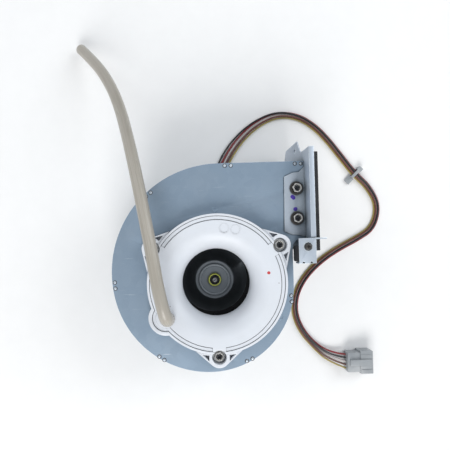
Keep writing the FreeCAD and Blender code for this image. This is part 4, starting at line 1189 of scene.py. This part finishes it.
def makeWheel():
    low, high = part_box("impeller_back_disc")
    rim = high.x
    foot = low.z
    top = high.z
    root = 31.0 * mm
    section = [
        (root, foot), (rim - 0.6 * mm, foot), (rim, foot + 0.4 * mm), (rim, top), (rim - 0.8 * mm, top),
    ]
    section += [
        (45 * mm, top), (44.4 * mm, top - 0.35 * mm), (41.6 * mm, top - 0.35 * mm), (41 * mm, top),
        (root, top),
    ]
    disc = spun("impellerBackDisc", section, steps=128, edge=0.15 * mm)
    fit(disc, finishes["shadedWheelMetal"], "wheel_metal", "rotor", "impeller_back_disc")
    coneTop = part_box("impeller_cone")[1].z
    outside = [
        (root, foot), (root, top), (27.6 * mm, top + 1.2 * mm), (25 * mm, foot + 5 * mm),
        (22 * mm, foot + 9.2 * mm),
    ]
    outside += [
        (19.6 * mm, foot + 13.4 * mm), (18 * mm, coneTop - 1.8 * mm), (17.6 * mm, coneTop - 0.8 * mm),
    ]
    outside += [(16.6 * mm, coneTop), (4 * mm, coneTop)]
    inside = [
        (4 * mm, coneTop - 1.6 * mm), (15.6 * mm, coneTop - 1.6 * mm), (16.6 * mm, coneTop - 2.6 * mm),
    ]
    inside += [(23.6 * mm, foot + 3.9 * mm), (30.4 * mm, foot)]
    cone = spun("impellerCone", outside + inside, steps=128)
    smoothed(cone, 50)
    fit(cone, finishes["coneMetal"], "wheel_metal", "rotor", "impeller_cone")
    blades = softened("impeller_blades", "impellerBlades", wheelLook["bladeEdge"])
    fit(blades, finishes["shadedWheelMetal"], "wheel_metal", "rotor", "impeller_blades")
    low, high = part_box("impeller_shroud")
    eye = 31.0 * mm
    edge = low.z
    section = [
        (eye, high.z - 3 * mm), (eye, high.z), (eye + 1.2 * mm, high.z),
        (eye + 1.2 * mm, high.z - 2.4 * mm),
    ]
    section += [(rim, edge + 1.2 * mm), (rim, edge)]
    shroud = spun("impellerShroud", section, steps=128, edge=0.25 * mm)
    fit(shroud, finishes["shadedWheelMetal"], "wheel_metal", "rotor", "impeller_shroud")


def makeHub():
    low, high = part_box("clamp_disc")
    outer = high.x
    section = [(wheelLook["hubHole"], low.z), (outer, low.z)]
    section += [(outer, high.z - 0.3 * mm), (outer - 0.3 * mm, high.z)]
    section += [
        (outer - 1.2 * mm, high.z), (outer - 1.5 * mm, high.z - 0.25 * mm),
        (outer - 1.9 * mm, high.z - 0.25 * mm),
    ]
    section += [(outer - 2.2 * mm, high.z), (wheelLook["hubHole"], high.z)]
    disc = spun("clampDisc", section, steps=112, edge=0.1 * mm)
    fit(disc, finishes["coneMetal"], "wheel_metal", "rotor", "clamp_disc")
    makeNut()
    low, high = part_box("shaft")
    radius = high.x
    tip = high.z
    section = [(0, low.z), (radius - 0.4 * mm, low.z), (radius, low.z + 0.4 * mm), (radius, tip - 5.2 * mm)]
    section += [
        (radius - 0.15 * mm, tip - 5.0 * mm), (radius - 0.15 * mm, tip - 0.6 * mm),
        (radius - 0.6 * mm, tip),
    ]
    section += [(0.55 * mm, tip), (0, tip - 0.5 * mm)]
    shaft = spun("shaft_turned", section, steps=56, edge=0.08 * mm)
    slot = block("slot", (-3 * mm, -0.4 * mm, tip - 1.2 * mm), (3 * mm, 0.4 * mm, tip + 1 * mm))
    slot = copied(slot, "turnedSlot", turn=40)
    bpy.data.objects.remove(bpy.data.objects["slot"])
    cut(shaft, slot)
    finishMesh(shaft, 1e-7, outward=False)
    smoothed(shaft)
    fit(shaft, finishes["brightSteel"], "bright_steel", "rotor", "shaft")


def makeNut():
    low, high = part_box("lock_nut")
    outer = high.x
    top = high.z
    section = [
        (wheelLook["hubHole"], low.z), (outer, low.z), (outer, low.z + 0.8 * mm),
        (outer - 0.5 * mm, low.z + 1.1 * mm),
    ]
    section += [(outer - 0.3 * mm, top - 0.6 * mm), (outer - 0.7 * mm, top), (outer - 1.3 * mm, top)]
    section += [
        (outer - 1.8 * mm, top - 0.6 * mm), (outer - 1.8 * mm, low.z + 1 * mm),
        (wheelLook["hubHole"], low.z + 1 * mm),
    ]
    nut = spun("lockNut", section, steps=96)
    for number in range(wheelLook["knurls"]):
        # Short knurls round the crown.
        x, y = round2d(outer + 0.15 * mm, 30 * number + 10)
        cut(nut, rod("knurl", (x, y), 0.55 * mm, low.z + 1.2 * mm, top + 1 * mm, 12))
    finishMesh(nut, 1e-7, outward=False)
    rounded(nut, 0.1 * mm, 2, 30)
    smoothed(nut)
    fit(nut, finishes["yellowNut"], "nut_yellow", "rotor", "lock_nut")
    inner = outer - 1.25 * mm
    # The inner faces of the nut are painted dark as shade in its recess.
    inlaid(nut, finishes["recessShade"], lambda face: face.center.xy.length < inner)


# Motor.


def makeMotor():
    can = softened("motor_can", "motorCan", 0.6 * mm, 3)
    fit(can, finishes["motorCasing"], "motor_casing", "housing", "motor_can")
    low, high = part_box("motor_rear_cap")
    rim = high.x
    foot = low.z
    cap = high.z
    section = [
        (0, foot), (7 * mm, foot), (7.6 * mm, foot + 0.6 * mm), (10.4 * mm, foot + 0.6 * mm),
        (11 * mm, foot),
    ]
    section += [
        (29 * mm, foot), (29.7 * mm, foot + 0.6 * mm), (33.3 * mm, foot + 0.6 * mm), (34 * mm, foot),
    ]
    section += [
        (rim - 1.2 * mm, foot), (rim - 0.35 * mm, foot + 0.35 * mm), (rim, foot + 1.2 * mm),
        (rim, foot + 3 * mm),
    ]
    section += [(9 * mm, foot + 3 * mm), (9 * mm, cap), (6.5 * mm, cap), (6.5 * mm, foot + 3.4 * mm)]
    section += [(4.5 * mm, foot + 3.4 * mm), (4.5 * mm, foot + 2 * mm), (0, foot + 2 * mm)]
    rear = spun("motorRearCap", section, steps=128, edge=0.12 * mm)
    fit(rear, finishes["motorCasing"], "motor_casing", "housing", "motor_rear_cap")
    makeGrommet()


def makeGrommet():
    low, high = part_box("wire_grommet")
    neckY = 42.2 * mm
    collar = block("wireGrommet", (low.x, neckY, low.z), high)
    edit(collar, "DESELECT")
    bpy.ops.mesh.select_mode(type="FACE")
    leaveEdit()
    for face in collar.data.polygons:
        face.select = face.normal.y > 0.9
    bpy.ops.object.mode_set(mode="EDIT")
    bpy.ops.mesh.inset(thickness=1.4 * mm, depth=0)
    bpy.ops.mesh.inset(thickness=0.5 * mm, depth=-0.7 * mm)
    leaveEdit()
    rounded(collar, 0.5 * mm, 3, 40)
    neck = block(
        "neck", (low.x + 1.4 * mm, low.y, low.z + 1.4 * mm),
        (high.x - 1.4 * mm, neckY + 1 * mm, high.z - 1.4 * mm)
    )
    rounded(neck, 0.6 * mm, 3, 40)
    grommet = joined([collar, neck])
    smoothed(grommet)
    fit(grommet, finishes["sealRubber"], "seal_rubber", "housing", "wire_grommet")


# Connector and cable tie.

plugLook = {"edge": 0.4 * mm, "ribHalf": 0.45 * mm, "ribs": (-0.0952, -0.0912, -0.0846, -0.0806)}


def makeConnector():
    low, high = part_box("connector_housing")
    plug = softened("connector_housing", "connectorHousing", plugLook["edge"], 2)
    shoulder = (low.x + high.x) / 2
    top = high.z - 1.2 * mm
    details = []
    for y in plugLook["ribs"]:
        rib = block("rib", (shoulder + 0.6 * mm, y - plugLook["ribHalf"], top - 1 * mm),
                    (high.x - 0.5 * mm, y + plugLook["ribHalf"], top + 0.45 * mm))
        rounded(rib, 0.18 * mm)
        details.append(rib)
    plug = joined([plug] + details)
    smoothed(plug)
    return fit(plug, finishes["nylon"], "natural_nylon", "housing", "connector_housing")


def makeTie():
    tie = softened("cable_tie", "cableTie", 0.25 * mm, 2)
    return fit(tie, finishes["nylon"], "natural_nylon", "housing", "cable_tie")


makeScroll()
print("scroll housing made")
makeBracket()
print("corner bracket made")
makeRing()
print("inlet ring and cover made")
makeFasteners()
print("fasteners made")
makeWheel()
makeHub()
print("impeller and hub made")
makeMotor()
print("motor made")
carried = [makeConnector(), makeTie(), nodes["connector_terminals"]]
fit(makeHose(), finishes["hose"], "hose_silicone", "housing", "hose")
for colour, (low, high) in wireColours.items():
    lead = makeWire(colour)
    fit(lead, wireSkin(colour + "Insulation", low, high), "wire_" + colour, "housing", "wire_" + colour)
print("hose and wires laid")
